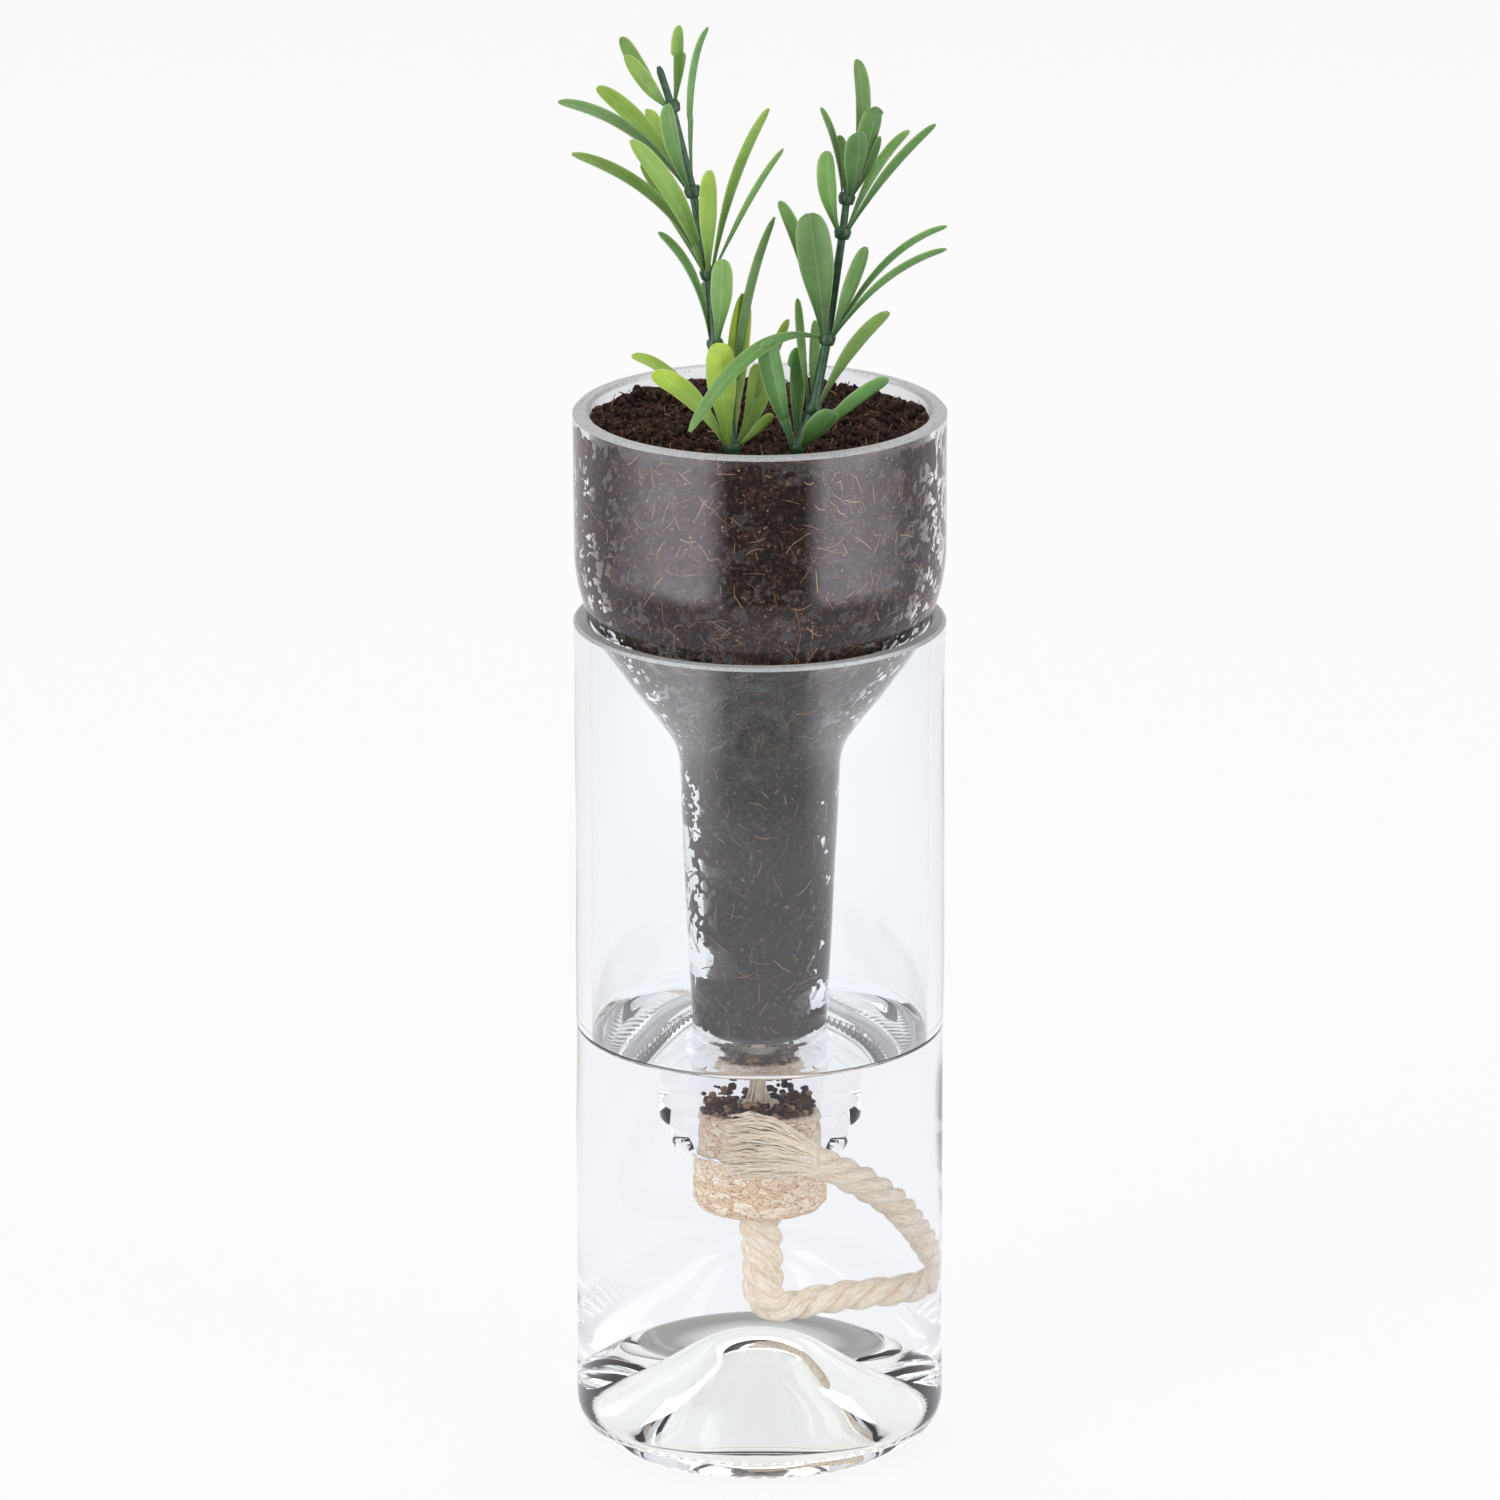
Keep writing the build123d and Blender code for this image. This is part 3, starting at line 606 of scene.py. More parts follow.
fleck_tone = node(cork, "ValToRGB", {"Fac": flecks}, stops=[(0.36, "#9a6c48"), (0.45, "#ffffff")])
seam_tone = node(cork, "ValToRGB", {"Fac": seams}, stops=[(0.0, "#c79c78"), (0.07, "#ffffff")])
cork_mix = node(cork, "Mix", {0: 0.85, 6: grain_tone, 7: fleck_tone}, **MULTIPLY)
cork_tone = node(cork, "Mix", {0: 0.6, 6: cork_mix.outputs[2], 7: seam_tone}, **MULTIPLY)
cork_bump = node(cork, "Bump", {"Height": seams, "Distance": 0.4 * MM, "Strength": 0.6})
cork_surface = node(cork, "BsdfPrincipled", {
    "Base Color": cork_tone.outputs[2], "Roughness": 0.85, "Normal": cork_bump,
})
node(cork, "OutputMaterial", {"Surface": cork_surface})


def cork_shape(rings):
    """Roughens the cork's outer end by its granules, and leaves the plug and the bore true."""
    for point, reach in reaches(rings):
        if reach > 4 and point[2] < CORK_SHOULDER - 0.3:
            lump, pit = noise.noise(Vector(point) / 1.9), noise.noise(Vector(point) / FLECK)
            point[:2] *= (reach + 0.35 * lump + 0.15 * pit - 0.2) / reach
    return rings


cork_line = rounded([
    (CORK_BORE, CORK_LOW, 0), (CORK_RADIUS, CORK_LOW, 3.6), (CORK_RADIUS, CORK_SHOULDER, 0.8),
    (PLUG_RADIUS, CORK_SHOULDER, 0), (PLUG_RADIUS, CORK_HIGH, 0.8),
    (CORK_BORE, CORK_HIGH, 0), (CORK_BORE, CORK_LOW, 0),
], 0.45)
ring_piece("cork_body", cork_line, 128, [cork], "cork", ["cork_stopper"],
           lambda *_: 0, cork_shape)

# The soil: peat crumbs and coconut fibre, filled loosely into the funnel. Some crumbs press on the
# glass and show dark, others stand back from it and leave light pockets.
SOIL_TOP, SOIL_FOOT, NECK_TOP = 211.4, 86.4, 150
CRUMB, CLOD = 1.0, 7.0
soil = material("peat_and_coir_soil")
place = node(soil, "NewGeometry")
mark = node(soil, "Attribute", attribute_name="marks")
crumbs = node(soil, "TexNoise", {
    "Vector": place, "Scale": 1 / (CRUMB * MM), "Detail": 5.0, "Roughness": 0.75,
})
clods = node(soil, "TexNoise", {"Vector": place, "Scale": 1 / (CLOD * MM), "Detail": 2.0})
crumb_tone = node(soil, "ValToRGB", {"Fac": crumbs}, stops=[
    (0.38, "#120906"), (0.5, "#301c14"), (0.61, "#5f4234"), (0.68, "#b79c88"),
])
clod_tone = node(soil, "ValToRGB", {"Fac": clods}, stops=[(0.35, "#a8988c"), (0.65, "#ffffff")])
soil_mix = node(soil, "Mix", {0: 0.7, 6: crumb_tone, 7: clod_tone}, **MULTIPLY)
tone = mark.outputs["Alpha"]
fibre_tone = node(soil, "ValToRGB", {"Fac": tone}, stops=[
    (0.0, "#2b190f"), (0.6, "#75492c"), (1.0, "#cfa57e"),
])
loose = node(soil, "Math", {0: tone, 1: 0.001}, operation="GREATER_THAN")
soil_tone = node(soil, "Mix", {0: loose, 6: soil_mix.outputs[2], 7: fibre_tone}, data_type="RGBA")
soil_bump = node(soil, "Bump", {"Height": crumbs, "Distance": 0.8 * MM, "Strength": 1.0})
soil_surface = node(soil, "BsdfPrincipled", {
    "Base Color": soil_tone.outputs[2], "Roughness": 0.9, "Normal": soil_bump,
    "Specular IOR Level": 0.25,
})
node(soil, "OutputMaterial", {"Surface": soil_surface})

wall_line = rounded([
    (NECK_BORE, MOUTH + 20.0, 0), (12.8, INNER_NECK_CORNER, 17.3),
    (BORE_RADIUS, INNER_SHOULDER_CORNER, 31.7), (BORE_RADIUS, FUNNEL_RIM - RIM_BEVEL, 0),
], 0.7)


def wall_radius(height):
    """The radius of the funnel's inside at a height."""
    return float(np.interp(height, wall_line[:, 1], wall_line[:, 0]))


# The clods heaped on the soil, as shares of the bore radius: place, reach and height.
CLODS = [
    (-0.61, 0.26, 0.235, 0.062), (-0.32, 0.57, 0.245, 0.058), (0.09, 0.63, 0.220, 0.052),
    (0.47, 0.50, 0.245, 0.064), (0.69, 0.15, 0.235, 0.062), (-0.19, 0.19, 0.220, 0.058),
    (0.23, 0.22, 0.220, 0.058), (-0.66, -0.19, 0.220, 0.058), (0.69, -0.22, 0.205, 0.052),
    (-0.51, -0.51, 0.205, 0.052), (0.51, -0.55, 0.170, 0.046), (0.03, -0.20, 0.205, 0.052),
    (0.03, -0.76, 0.150, 0.042),
]


def rim_rise(x, y):
    """How far the soil is pushed up along the glass, unevenly."""
    near = between(math.hypot(x, y), 25.0, 33.0)
    loose = noise.noise(Vector((x, y, 21)) / 6.0) + 0.6 * noise.noise(Vector((x, y, 33)) / 2.0)
    return near * near * (3.1 + 1.3 * loose)


def soil_top(x, y):
    """The height of the soil's surface, with its clods and crumbs."""
    heap = 0.0
    for clod in CLODS:
        far, near, reach, height = (share * BORE_RADIUS for share in clod)
        away = ((x - far) ** 2 + (y - near) ** 2) / reach**2
        heap = max(heap, height * (1 - away))
    rough = noise.noise(Vector((x, y, 3)) / 3.0) * 0.6 + noise.noise(Vector((x, y, 9)) / 1.3) * 0.6
    return SOIL_TOP + heap + rough - 0.2 + rim_rise(x, y)


# The pockets low in the neck: which side, at what height, how far up and down, and how deep.
POCKETS = [(-1, 103, 3.0, 2.0), (1, 95, 2.6, 0.9)]
SOIL_PRESS = 0.3


def soil_shape(rings):
    """Breaks the soil's surface into crumbs, with pockets and contact along the glass."""
    for point, reach in reaches(rings):
        if reach < 0.2:
            point[2] = soil_top(0, 0) if point[2] > NECK_TOP else SOIL_FOOT
            continue
        place = Vector(point)
        if point[2] > SOIL_TOP - 0.5 and reach < BORE_RADIUS - 0.9:
            point[2] = soil_top(point[0], point[1])
            continue
        point[2] += between(point[2], SOIL_TOP - 6, SOIL_TOP) * rim_rise(point[0], point[1])
        high, aside = point[2], point[0] / reach
        fine, broad = noise.noise(place / 1.1), noise.noise(place / 3.6)
        cup = between(high, 148, 156)
        gap = (0.45 + 0.35 * cup) * fine + (0.4 + 0.2 * cup) * broad - 0.3 + 0.12 * cup
        if high < NECK_TOP:
            left = 0.3 * max(0.0, -aside) ** 2
            gap += left * between(high, 99, 103) * (1 - between(high, 138, 146))
            for side, height, tall, depth in POCKETS:
                swell = math.exp(-(((high - height) / tall) ** 4))
                gap += depth * max(0.0, side * aside) ** 2 * swell
        target = min(reach, wall_radius(high)) - max(gap, -SOIL_PRESS)
        if point[2] < SOIL_FOOT + 1.5 and reach < 8:
            point[2] += 0.8 * broad + 0.6 * fine
            continue
        point[:2] *= max(0.5, target) / reach
    return rings


soil_line = rounded([
    (AXIS, SOIL_FOOT, 0), (wall_radius(SOIL_FOOT), SOIL_FOOT, 3.0),
    *((r, z, 0) for r, z in wall_line if SOIL_FOOT + 3.2 < z < SOIL_TOP - 0.6),
    (BORE_RADIUS - 0.4, SOIL_TOP, 0), (AXIS, SOIL_TOP, 0),
], 0.75)
turned("soil_fill", soil_line, 300, [soil], "funnel", ["potting_soil"],
       shape=soil_shape, cut=80)

# Loose bits: fibres and specks pressed on the glass, most of them in the cup, and fibres and crumbs
# that lie on top of the soil.
GLASS_BITS, CUP_BITS, CUP_TOP = 2600, 2200, 214
TOP_FIBRES, TOP_CRUMBS = 1100, 1300


def scattered(inner, outer):
    """A place at random between two distances from the axis: its distance, x and y."""
    reach = inner + (outer - inner) * math.sqrt(chance.random())
    turn = chance.uniform(0, FULL_TURN)
    return reach, reach * math.cos(turn), reach * math.sin(turn)


loose = []
for index in range(GLASS_BITS):
    cup = index < CUP_BITS
    height = chance.uniform(NECK_TOP, CUP_TOP) if cup else chance.uniform(90, NECK_TOP)
    turn = chance.uniform(0, FULL_TURN)
    lean = chance.uniform(0, FULL_TURN)
    length = chance.uniform(1.5, 4.5)
    bow = chance.uniform(-0.6, 0.6)
    line = []
    for share in np.linspace(-0.5, 0.5, 6):
        z = height + length * share * math.sin(lean) + bow * (1 - 4 * share**2)
        reach = wall_radius(z) + SOIL_PRESS - 0.03
        angle = turn + length * share * math.cos(lean) / reach
        line.append((reach * math.cos(angle), reach * math.sin(angle), z))
    loose.append(tube(line, chance.uniform(0.06, 0.12), 3, tone=chance.uniform(0.15, 1.0)))
for index in range(TOP_FIBRES):
    _, x, y = scattered(0, BORE_RADIUS - 1)
    lean = chance.uniform(0, FULL_TURN)
    length = chance.uniform(1.5, 5.0)
    rise = chance.uniform(-0.1, 0.9) ** 2
    curl = chance.uniform(-1.2, 1.2)
    line = []
    for share in np.linspace(0, 1, 6):
        across, run = lean + curl * share, length * share * (1 - rise)
        px, py = x + run * math.cos(across), y + run * math.sin(across)
        hold = min(1.0, (BORE_RADIUS - 0.6) / max(1e-6, math.hypot(px, py)))
        line.append((px * hold, py * hold, soil_top(x, y) - 0.2 + length * rise * share))
    loose.append(tube(line, chance.uniform(0.07, 0.14), 3, tone=chance.uniform(0.05, 0.9)))
for index in range(GLASS_BITS):
    cup = index < CUP_BITS
    height = chance.uniform(NECK_TOP, CUP_TOP) if cup else chance.uniform(88, NECK_TOP)
    turn = chance.uniform(0, FULL_TURN)
    size = chance.uniform(0.12, 0.42)
    reach = wall_radius(height) + SOIL_PRESS - size * 0.2
    centre = np.array((reach * math.cos(turn), reach * math.sin(turn), height))
    lean = np.array((-math.sin(turn), math.cos(turn), chance.uniform(-1.5, 1.5)))
    line = [centre + lean * size * share for share in (-0.5, 0.0, 0.5)]
    loose.append(tube(line, [0.3 * size, 0.6 * size, 0.3 * size], 5, tone=chance.uniform(0.3, 1.0)))
skin("soil_fibres", loose, [soil], "funnel")

# A crumb's radius and its place along its length, from end to end, as shares of its size.
CRUMB_RINGS = [(0.45, -0.86), (0.9, -0.4), (1.0, 0.15), (0.62, 0.8)]
CRUMB_AROUND = 6


def crumb_line(centre, size):
    """A crumb's line, which lies any way, and its radii."""
    heading = unit(np.array([chance.uniform(-1, 1) for _ in range(3)]))
    return [centre + heading * size * z for _, z in CRUMB_RINGS], [r * size for r, _ in CRUMB_RINGS]


lumps = []
for index in range(TOP_CRUMBS):
    _, x, y = scattered(0, 33.0)
    size = chance.uniform(0.35, 1.15)
    centre = np.array((x, y, soil_top(x, y) + chance.uniform(-0.2, 0.6) * size))
    rings, marks = tube(*crumb_line(centre, size), CRUMB_AROUND)
    jags = [chance.uniform(-0.22, 0.22) * size for _ in range(rings.size)]
    lumps.append((rings + np.reshape(jags, rings.shape), marks))
skin("soil_crumbs", lumps, [soil], "funnel", cut=70)

# Crumbs that fell through the neck before it was full lie on the cork, highest at its edge.
CORK_CRUMBS, CORK_CRUMB_HEAP = 330, 3.4
lumps = []
for index in range(CORK_CRUMBS):
    reach, x, y = scattered(3.2, 8.6)
    size = chance.uniform(0.25, 0.75)
    high = CORK_HIGH + size * 0.6 + chance.random() ** 2 * CORK_CRUMB_HEAP * (reach - 2.4) / 6.2
    line, radii = crumb_line(np.array((x, y, high)), size)
    lumps.append(tube(line, radii, CRUMB_AROUND, tone=chance.choice((0.0, 0.2, 0.5, 0.9))))
skin("cork_crumbs", lumps, [soil], "cork", cut=70)

# The sprigs: injection-moulded polyethylene. Whorls of leaves are pushed over a wire-cored stem,
# and a thin spray of paint makes the tips yellower. The left one is paler than the right one.
SPRIG_HEIGHT, LEAF_REACH, LEAF_WIDTH = 79.4, 40.0, 4.4
PLANTING_HEIGHT, STEM_DEPTH = 212.2, 40
PLANTINGS = {"left": (-0.16, -0.53), "right": (0.22, -0.53)}
STEMS = {
    "left": [
        (-0.043, 0.025, 0.28), (-0.06, 0.05, 0.455), (-0.098, 0.075, 0.66), (-0.15, 0.10, 0.87),
        (-0.183, 0.113, 0.97),
    ],
    "right": [
        (0.038, 0.012, 0.118), (0.073, 0.025, 0.294), (0.111, 0.062, 0.557), (0.121, 0.075, 0.642),
        (0.124, 0.079, 0.67),
    ],
}
# Each leaf, whorl by whorl from the soil up: its tip and its middle as shares of the leaf reach,
# its width share, how much of its broad side faces the front, and how young and yellow it is.
LEAVES = {}
LEAVES["left_base_whorl"] = [
    ((0.055, 0.10, 0.765), (0.01, 0.05, 0.385), 1.25, 0.8, 0.9),
    ((-0.06, -0.08, 0.56), (-0.05, -0.05, 0.31), 1.35, 1.0, 0.85),
    ((-0.50, 0.12, 0.44), (-0.27, 0.06, 0.32), 0.7, 0.6, 0.7),
    ((-0.40, -0.05, 0.385), (-0.21, -0.03, 0.27), 1.0, 0.85, 0.8),
    ((0.21, 0.12, 1.15), (0.06, 0.09, 0.62), 0.7, 0.6, 0.1),
    ((0.125, 0.18, 0.385), (0.11, 0.10, 0.21), 1.2, 0.9, 0.6),
    ((0.20, 0.08, 0.15), (0.13, 0.05, 0.085), 0.7, 0.8, 0.6),
    ((0.28, 0.30, 0.58), (0.17, 0.18, 0.34), 0.7, 0.7, 0.8),
]
LEAVES["left_lower_whorl"] = [
    ((-0.28, 0.0, 0.57), (-0.11, 0.0, 0.34), 0.7, 0.4, 0.0),
    ((0.035, -0.12, 0.465), (0.03, -0.09, 0.25), 1.0, 1.0, 0.15),
    ((-0.05, 0.20, 0.27), (-0.03, 0.10, 0.14), 0.7, 0.9, 0.1),
]
LEAVES["left_middle_whorl"] = [
    ((-0.67, -0.05, 0.62), (-0.26, -0.03, 0.385), 0.9, 0.4, 0.4),
    ((-0.38, -0.18, 0.72), (-0.15, -0.11, 0.38), 1.0, 0.8, 0.35),
    ((-0.33, 0.20, 0.51), (-0.20, 0.10, 0.31), 0.8, 0.6, 0.7),
    ((0.005, -0.22, 0.58), (0.005, -0.13, 0.29), 0.9, 0.9, 0.6),
    ((0.30, 0.12, 0.81), (0.13, 0.06, 0.44), 0.9, 0.55, 0.4),
    ((0.37, -0.10, 0.66), (0.20, -0.05, 0.375), 0.7, 0.4, 0.1),
]
LEAVES["left_upper_whorl"] = [
    ((-0.66, -0.12, 0.48), (-0.31, -0.06, 0.32), 0.9, 0.35, 0.05),
    ((-0.475, 0.20, 0.48), (-0.23, 0.10, 0.28), 0.9, 0.8, 0.55),
    ((-0.22, 0.28, 0.35), (-0.15, 0.14, 0.22), 0.8, 0.7, 0.75),
    ((-0.125, -0.20, 0.49), (-0.09, -0.12, 0.26), 0.9, 0.8, 0.05),
    ((0.075, 0.05, 0.82), (-0.005, 0.07, 0.50), 0.7, 0.4, 0.0),
]
LEAVES["left_top_whorl"] = [
    ((-0.25, 0.10, 0.33), (-0.15, 0.04, 0.16), 0.8, 0.8, 0.2),
    ((-0.23, -0.08, 0.28), (-0.11, -0.06, 0.11), 0.8, 0.8, 0.4),
    ((0.035, 0.05, 0.40), (0.03, 0.05, 0.21), 0.8, 0.7, 0.3),
]
LEAVES["right_base_whorl"] = [
    ((0.45, 0.05, 0.34), (0.257, 0.03, 0.21), 0.95, 0.8, -0.2),
    ((0.18, -0.12, 0.22), (0.09, -0.08, 0.11), 1.25, 0.9, -0.1),
    ((-0.15, -0.10, 0.58), (-0.11, -0.04, 0.33), 1.1, 0.95, -0.5),
    ((-0.005, 0.10, 0.49), (-0.01, 0.09, 0.26), 0.95, 0.75, -0.4),
]
LEAVES["right_lower_whorl"] = [
    ((0.375, -0.05, 0.505), (0.19, -0.03, 0.30), 0.9, 0.8, 0.45),
    ((-0.08, 0.05, 0.55), (-0.06, 0.04, 0.29), 0.6, 0.6, 0.2),
    ((0.01, 0.20, 0.40), (0.0, 0.10, 0.21), 0.7, 0.7, 0.2),
]
LEAVES["right_middle_whorl"] = [
    ((-0.24, 0.0, 0.70), (-0.12, 0.0, 0.40), 0.9, 0.65, 0.15),
    ((-0.09, -0.12, 0.67), (-0.05, -0.08, 0.36), 1.6, 1.0, 0.1),
    ((0.19, -0.08, 0.49), (0.11, -0.06, 0.26), 0.8, 0.9, 0.15),
    ((0.59, 0.10, 0.55), (0.287, 0.05, 0.37), 0.9, 0.4, 0.0),
    ((0.585, -0.12, 0.49), (0.28, -0.06, 0.31), 0.9, 0.45, 0.0),
    ((-0.68, -0.28, -0.40), (-0.34, -0.16, -0.015), 0.8, 0.7, 0.15),
]
LEAVES["right_upper_whorl"] = [
    ((-0.08, -0.10, 0.44), (-0.07, -0.06, 0.22), 0.9, 0.95, 0.2),
    ((0.33, 0.12, 0.49), (0.165, 0.09, 0.29), 0.8, 0.65, 0.2),
    ((0.455, -0.08, 0.57), (0.22, -0.05, 0.31), 0.8, 0.6, 0.05),
]
LEAVES["right_top_whorl"] = [
    ((0.045, 0.10, 0.68), (0.075, 0.08, 0.39), 0.8, 0.85, 0.2),
    ((0.145, -0.02, 0.47), (0.095, -0.03, 0.28), 1.1, 0.9, 0.05),
    ((0.05, -0.15, 0.37), (0.045, -0.09, 0.20), 1.15, 0.9, 0.0),
    ((-0.13, 0.0, 0.46), (-0.055, 0.0, 0.255), 0.5, 0.5, 0.1),
    ((-0.035, 0.17, 0.28), (-0.02, 0.10, 0.135), 0.7, 0.8, 0.2),
    ((0.16, -0.02, 0.32), (0.12, 0.0, 0.175), 0.6, 0.6, 0.1),
]
MOTTLE, STEM_GRAIN = 4.0, 1.5


def leaf_plastic(name, deep, fresh, yellow):
    """Moulded leaf plastic: satin, a little translucent, with a pale midrib and fine veins."""
    made = material(name)
    mark = node(made, "Attribute", attribute_name="marks")
    parts = node(made, "SeparateColor", {0: mark.outputs["Color"]})
    place = node(made, "NewGeometry")
    mottle = node(made, "TexNoise", {
        "Vector": place, "Scale": 1 / (MOTTLE * MM), "Detail": 3.0, "Roughness": 0.6,
    })
    along = node(made, "ValToRGB", {"Fac": parts}, stops=[(0.0, deep), (0.45, fresh), (1.0, fresh)])
    youth = node(made, "MapRange", {0: parts, 1: 0.0, 2: 0.9, 3: 0.35, 4: 1.25})
    yellowed = {0: parts.outputs[2], 1: youth}
    amount = node(made, "Math", yellowed, operation="MULTIPLY", use_clamp=True)
    tinted = node(made, "Mix", {0: amount, 6: along, 7: yellow}, data_type="RGBA")
    shade = node(made, "ValToRGB", {"Fac": mottle}, stops=[(0.3, "#b9c2b4"), (0.7, "#ffffff")])
    mottled = node(made, "Mix", {0: 0.55, 6: tinted.outputs[2], 7: shade}, **MULTIPLY)
    offset = node(made, "Math", {0: parts.outputs[1], 1: 0.5}, operation="SUBTRACT")
    off_middle = node(made, "Math", {0: offset}, operation="ABSOLUTE")
    rib = node(made, "ValToRGB", {"Fac": off_middle}, stops=[
        (at, (grey, grey, grey, 1)) for at, grey in ((0, 0.2), (0.05, 0), (0.43, 0), (0.5, 0.32))
    ])
    pale = node(made, "Mix", {0: 0.45, 6: yellow, 7: "#f4f7d8"}, data_type="RGBA")
    lined = {0: rib, 6: mottled.outputs[2], 7: pale.outputs[2]}
    ribbed = node(made, "Mix", lined, data_type="RGBA")
    own = node(made, "MapRange", {0: mark.outputs["Alpha"], 3: 0.72, 4: 1.12})
    colour = node(made, "VectorMath", {0: ribbed.outputs[2], "Scale": own}, operation="SCALE")
    spread = node(made, "CombineXYZ", {0: parts, 1: parts.outputs[1]})
    narrow = node(made, "VectorMath", {0: spread, 1: (3.0, 40.0, 1.0)}, operation="MULTIPLY")
    veins = node(made, "TexNoise", {"Vector": narrow, "Scale": 1.0, "Detail": 2.0})
    ridges = node(made, "Bump", {"Height": veins, "Distance": 0.12 * MM, "Strength": 0.6})
    surface = node(made, "BsdfPrincipled", {
        "Base Color": colour, "Roughness": 0.42, "Normal": ridges,
        "Subsurface Weight": 0.25, "Subsurface Radius": (0.0012, 0.0016, 0.0006),
        "Subsurface Scale": 1.0,
    })
    node(made, "OutputMaterial", {"Surface": surface})
    return made


leaf_finish = {
    "left": leaf_plastic("pale_moulded_leaf", "#35603a", "#6f9c5c", "#b2cf48"),
    "right": leaf_plastic("deep_moulded_leaf", "#2a5530", "#62924f", "#a5c65a"),
}
stem_plastic = material("dark_moulded_stem")
place = node(stem_plastic, "NewGeometry")
stem_bits = node(stem_plastic, "TexNoise", {
    "Vector": place, "Scale": 1 / (STEM_GRAIN * MM), "Detail": 3.0,
})
stem_tone = node(stem_plastic, "ValToRGB", {"Fac": stem_bits}, stops=[
    (0.3, "#1c3a25"), (0.7, "#3c6447"),
])
stem_bump = node(stem_plastic, "Bump", {
    "Height": stem_bits, "Distance": 0.15 * MM, "Strength": 0.5,
})
stem_surface = node(stem_plastic, "BsdfPrincipled", {
    "Base Color": stem_tone, "Roughness": 0.45, "Normal": stem_bump,
})
node(stem_plastic, "OutputMaterial", {"Surface": stem_surface})

LEAF_ROWS, LEAF_COLUMNS = 26, 9
HALF_THICKNESS, MIDRIB = 0.26, 0.1


def leaf(whorl, tip, middle, width_share, front_share, young):
    """One leaf as rings from its root to its rounded tip, hollowed along the midrib."""
    tip, middle = whorl + np.array(tip) * LEAF_REACH, whorl + np.array(middle) * LEAF_REACH
    outward = np.array((middle[0] - whorl[0], middle[1] - whorl[1], 0.0))
    reach = np.linalg.norm(outward)
    root = whorl + (outward / reach * 0.9 if reach > 0 else 0)
    bend = middle * 2 - (root + tip) / 2
    rings, marks = [], []
    tone = chance.random()
    for share in np.linspace(0, 1, LEAF_ROWS) ** 0.9:
        centre = root * (1 - share) ** 2 + bend * 2 * share * (1 - share) + tip * share**2
        along = unit((bend - root) * (1 - share) + (tip - bend) * share)
        flat = unit(np.cross(along, (0, 1, 0)))
        across = flat * front_share + np.cross(along, flat) * math.sqrt(1 - front_share**2)
        normal = np.cross(across, along)
        if normal[2] < 0:
            normal = -normal
        grow = min(1.0, share / 0.6)
        half = 0.24 + 0.76 * (3 * grow**2 - 2 * grow**3)
        if share > 0.66:
            half *= max(0.0, 1 - ((share - 0.66) / 0.345) ** 2.6) ** (1 / 2.2)
        half = max(0.03, half) * width_share * LEAF_WIDTH / 2
        sides = np.linspace(-1, 1, LEAF_COLUMNS)
        hollow = 0.34 * half * sides**2 - 0.12 * half
        midrib = MIDRIB * np.exp(-((sides / 0.16) ** 2)) * min(1.0, half)
        thick = HALF_THICKNESS * (1 - 0.55 * sides**2) * min(1.0, half / 0.8) + midrib
        row = centre + across * (sides * half)[:, None]
        upper = row + normal * (hollow + thick * 0.6)[:, None]
        lower = row + normal * (hollow - thick)[:, None]
        rings.append(np.concatenate([upper, lower[::-1][1:-1]]))
        v = np.concatenate([sides, sides[::-1][1:-1]]) * 0.5 + 0.5
        along_it, youth, own = (np.full(len(v), value) for value in (share, young, tone))
        marks.append(np.stack([along_it, v, youth, own], axis=1))
    return np.array(rings), np.array(marks)


for side in ("left", "right"):
    planting = np.array((*(share * BORE_RADIUS for share in PLANTINGS[side]), PLANTING_HEIGHT))
    places = [planting + (0, 0, 1.5)]
    places += [planting + np.array(shares) * SPRIG_HEIGHT for shares in STEMS[side]]
    path = evenly(np.array([planting - (0, 0, STEM_DEPTH)] + places), 1.0)
    for _ in range(6):
        path[1:-1] = (path[:-2] + path[1:-1] * 2 + path[2:]) / 4
    sizes = np.interp(path[:, 2], [planting[2], places[-1][2]], [1.1, 0.72])
    sizes[-1] *= 0.55
    for place in places[1:-1]:
        sizes *= 1 + 0.18 * np.exp(-(((path[:, 2] - place[2]) / 0.9) ** 2))
    skin(f"{side}_stem_wire", [tube(path, sizes, 14)], [stem_plastic], f"sprig_{side}",
         [f"{side}_stem"])
    for index, whorl in enumerate(name for name in LEAVES if name.startswith(side)):
        heading = places[index + 1] - places[index - 1] if index else np.array((0, 0, 1.0))
        collar = [places[index] + unit(heading) * z for z in (-1.2, -0.9, 0.3, 1.1)]
        rings, marks = tube(collar, [1.25, 1.5, 1.75, 1.45], 16)
        marks[..., :3] = (0.0, 0.3, 0.0)
        blades = [leaf(places[index], *row) for row in LEAVES[whorl]]
        skin(f"{whorl}_leaves", [(rings, marks)] + blades, [leaf_finish[side]], f"sprig_{side}",
             [whorl], cut=60)

# The stage: a white table that runs out of sight, and large soft lamps. What glass mirrors beyond
# the table's front is painted on the table itself: to reflected rays it glows as a softbox on each
# side, with a painted dark gap between them.
TABLE_SIZE = 30.0
GLASS_LIGHT = 1.4
# How brightly the table's front glows to reflected rays, as painted softboxes.
PAINTED_SOFTBOX_GLOW = 3.6
# The painted dark gap in the reflections: its middle and half width as a bearing across the front,
# and its soft edge.
GAP_MIDDLE, GAP_HALF, GAP_EDGE = 0.085, 0.42, 0.34


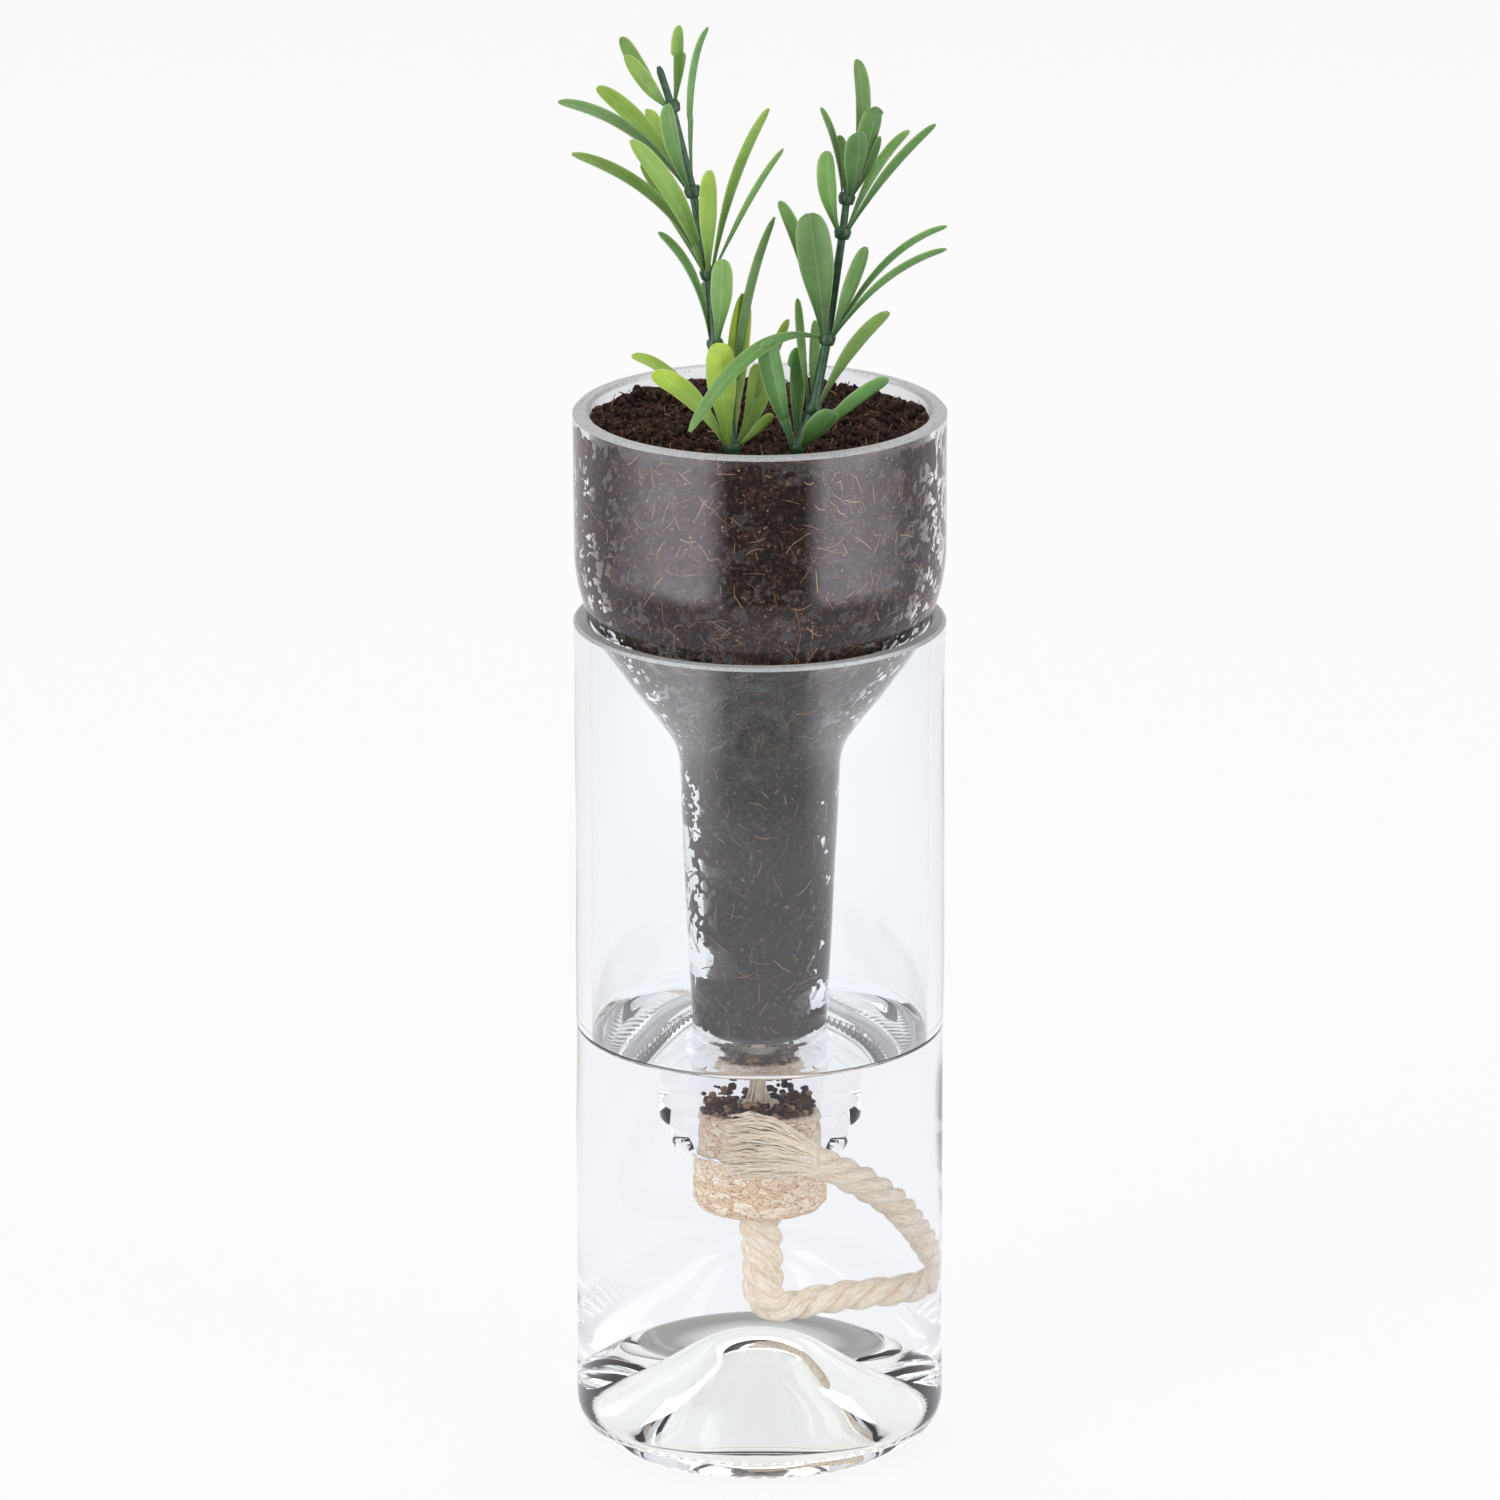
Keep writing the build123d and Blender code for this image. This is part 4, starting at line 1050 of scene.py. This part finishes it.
def rays(owner):
    """The kinds of ray that meet a shader, whether one comes off a matt surface, the light it then
    gets, and whether one comes straight, off a mirror or through glass."""
    kind = node(owner, "LightPath").outputs
    matt = node(owner, "Math", {0: kind["Diffuse Depth"], 1: 0.5}, operation="GREATER_THAN")
    raised = node(owner, "Mix", {0: matt, 2: 1.0, 3: GLASS_LIGHT}, data_type="FLOAT")
    clear = kind["Is Camera Ray"]
    for way in ("Is Glossy Ray", "Is Transmission Ray"):
        clear = node(owner, "Math", {0: clear, 1: kind[way]}, operation="ADD", use_clamp=True)
    return kind, matt, raised, clear


table = material("white_table")
kind, _, raised, clear = rays(table)
spot = node(table, "NewGeometry")
split = node(table, "SeparateXYZ", {0: spot})
away = node(table, "VectorMath", {0: spot}, operation="LENGTH").outputs["Value"]
back = split.outputs[1]
# Bands across the table: the distance from the axis or the place from front to back, where the band
# starts and ends, and its light there. Seen through glass, the table darkens outwards as a painted
# falloff of light and has a painted shadow ring under the heel; in reflections, painted softboxes
# glow at the front, with a painted dark gap between them.
bands = [
    (away, 0.15, 1.6, 1.0, 0.72), (away, 0.029, 0.033, 1.0, 0.3), (away, 0.039, 0.044, 0.0, 0.7),
    (back, -0.35, 0.15, PAINTED_SOFTBOX_GLOW, 0.0), (away, 0.40, 0.62, 0.0, 1.0),
    (away, 0.34, 0.52, 0.0, 1.0), (back, -0.2, -0.1, 1.0, 0.0),
]
bands = [node(table, "MapRange", dict(enumerate(band))) for band in bands]
painted_falloff, heel_in, heel_out, ahead, lit, gap_far, gap_front = bands
# Painted shadow: a dark ring on the table under the jar's heel, seen only through the glass.
heel = node(table, "Math", {0: heel_in, 1: heel_out}, operation="ADD", use_clamp=True)
shaded = node(table, "Math", {0: painted_falloff, 1: heel}, operation="MULTIPLY")
# Painted reflection: the table's front glows as a softbox on each side, seen only in reflections.
painted_softboxes = node(table, "Math", {0: ahead, 1: lit, 2: 1.0}, operation="MULTIPLY_ADD")
forward = node(table, "Math", {0: back, 1: -1.0}, operation="MULTIPLY")
bearing = node(table, "Math", {0: split, 1: forward}, operation="DIVIDE")
aside = node(table, "Math", {0: bearing, 1: GAP_MIDDLE}, operation="SUBTRACT")
wide = node(table, "Math", {0: aside}, operation="ABSOLUTE")
gap_across = node(table, "MapRange", {
    0: wide, 1: GAP_HALF, 2: GAP_HALF + GAP_EDGE, 3: 0.96, 4: 0.0,
})
gap_here = node(table, "Math", {0: gap_across, 1: gap_far}, operation="MULTIPLY")
gap = node(table, "Math", {0: gap_here, 1: gap_front}, operation="MULTIPLY")
open_share = node(table, "Math", {0: 1.0, 1: gap}, operation="SUBTRACT")
painted_reflection = node(table, "Math", {0: painted_softboxes, 1: open_share}, operation="MULTIPLY")
# Rays through glass see the painted falloff and the painted heel shadow.
through = node(table, "Math", {0: shaded, 1: raised}, operation="MULTIPLY")
ways = {0: kind["Is Glossy Ray"], 1: kind["Is Transmission Ray"]}
mirror = node(table, "Math", ways, operation="SUBTRACT", use_clamp=True)
beyond = node(table, "Mix", {0: mirror, 2: through, 3: painted_reflection}, data_type="FLOAT")
seen = node(table, "Mix", {0: kind["Is Camera Ray"], 2: beyond, 3: 1.0}, data_type="FLOAT")
# Reflected rays see the painted softboxes with a faint lilac tint.
tints = {0: mirror, 6: (1, 1, 1, 1), 7: (0.98, 0.92, 1.0, 1)}
tint = node(table, "Mix", tints, data_type="RGBA")
glow = node(table, "Emission", {"Color": tint.outputs[2], "Strength": seen})
paper = node(table, "BsdfDiffuse", {"Color": "#e6e6e6"})
share = node(table, "Math", {0: clear, 1: 0.9}, operation="MULTIPLY")
blend = node(table, "MixShader", {0: share, 1: paper, 2: glow})
node(table, "OutputMaterial", {"Surface": blend})
half = TABLE_SIZE / 2
corners = [(-half, -half, 0), (half, -half, 0), (half, half, 0), (-half, half, 0)]
mesh = bpy.data.meshes.new("table")
mesh.from_pydata(corners, [], [(0, 1, 2, 3)])
mesh.materials.append(table)
table_top = added("table", mesh)

world = bpy.data.worlds.new("studio")
scene.world = world
world.use_nodes = True
world.node_tree.nodes.clear()
kind, matt, raised, clear = rays(world)
facing = node(world, "TexCoord").outputs["Generated"]
split = node(world, "SeparateXYZ", {0: facing})
room = node(world, "MapRange", {0: split.outputs[1], 1: -0.3, 2: 0.5, 3: 0.78, 4: 1.0})
ways = {0: kind["Is Transmission Ray"], 1: matt}
plain = node(world, "Math", ways, operation="GREATER_THAN")
dimmed = node(world, "Mix", {0: plain, 2: raised, 3: room}, data_type="FLOAT")
strength = node(world, "Mix", {0: clear, 2: 0.55, 3: dimmed}, data_type="FLOAT")
sky = node(world, "Background", {"Color": (1, 1, 1, 1), "Strength": strength})
node(world, "OutputWorld", {"Surface": sky})


def softbox(name, place, size, power):
    """A large lamp that faces the planter."""
    lamp = added(name, bpy.data.lights.new(name, "AREA"))
    lamp.data.shape = "RECTANGLE"
    lamp.data.size, lamp.data.size_y = size
    lamp.data.energy = power
    lamp.location = place
    lamp.rotation_euler = (Vector((0, 0, 0.14)) - Vector(place)).to_track_quat("-Z", "Y").to_euler()


softbox("softbox_left", (-1.0, -0.9, 0.8), (0.8, 1.2), 9.0)
softbox("softbox_right", (1.1, -0.7, 0.6), (0.8, 1.2), 6.0)
softbox("softbox_top", (0.0, 0.5, 1.3), (1.2, 0.8), 6.0)

scene.view_settings.view_transform = "Standard"
scene.cycles.max_bounces = scene.cycles.transmission_bounces = 32
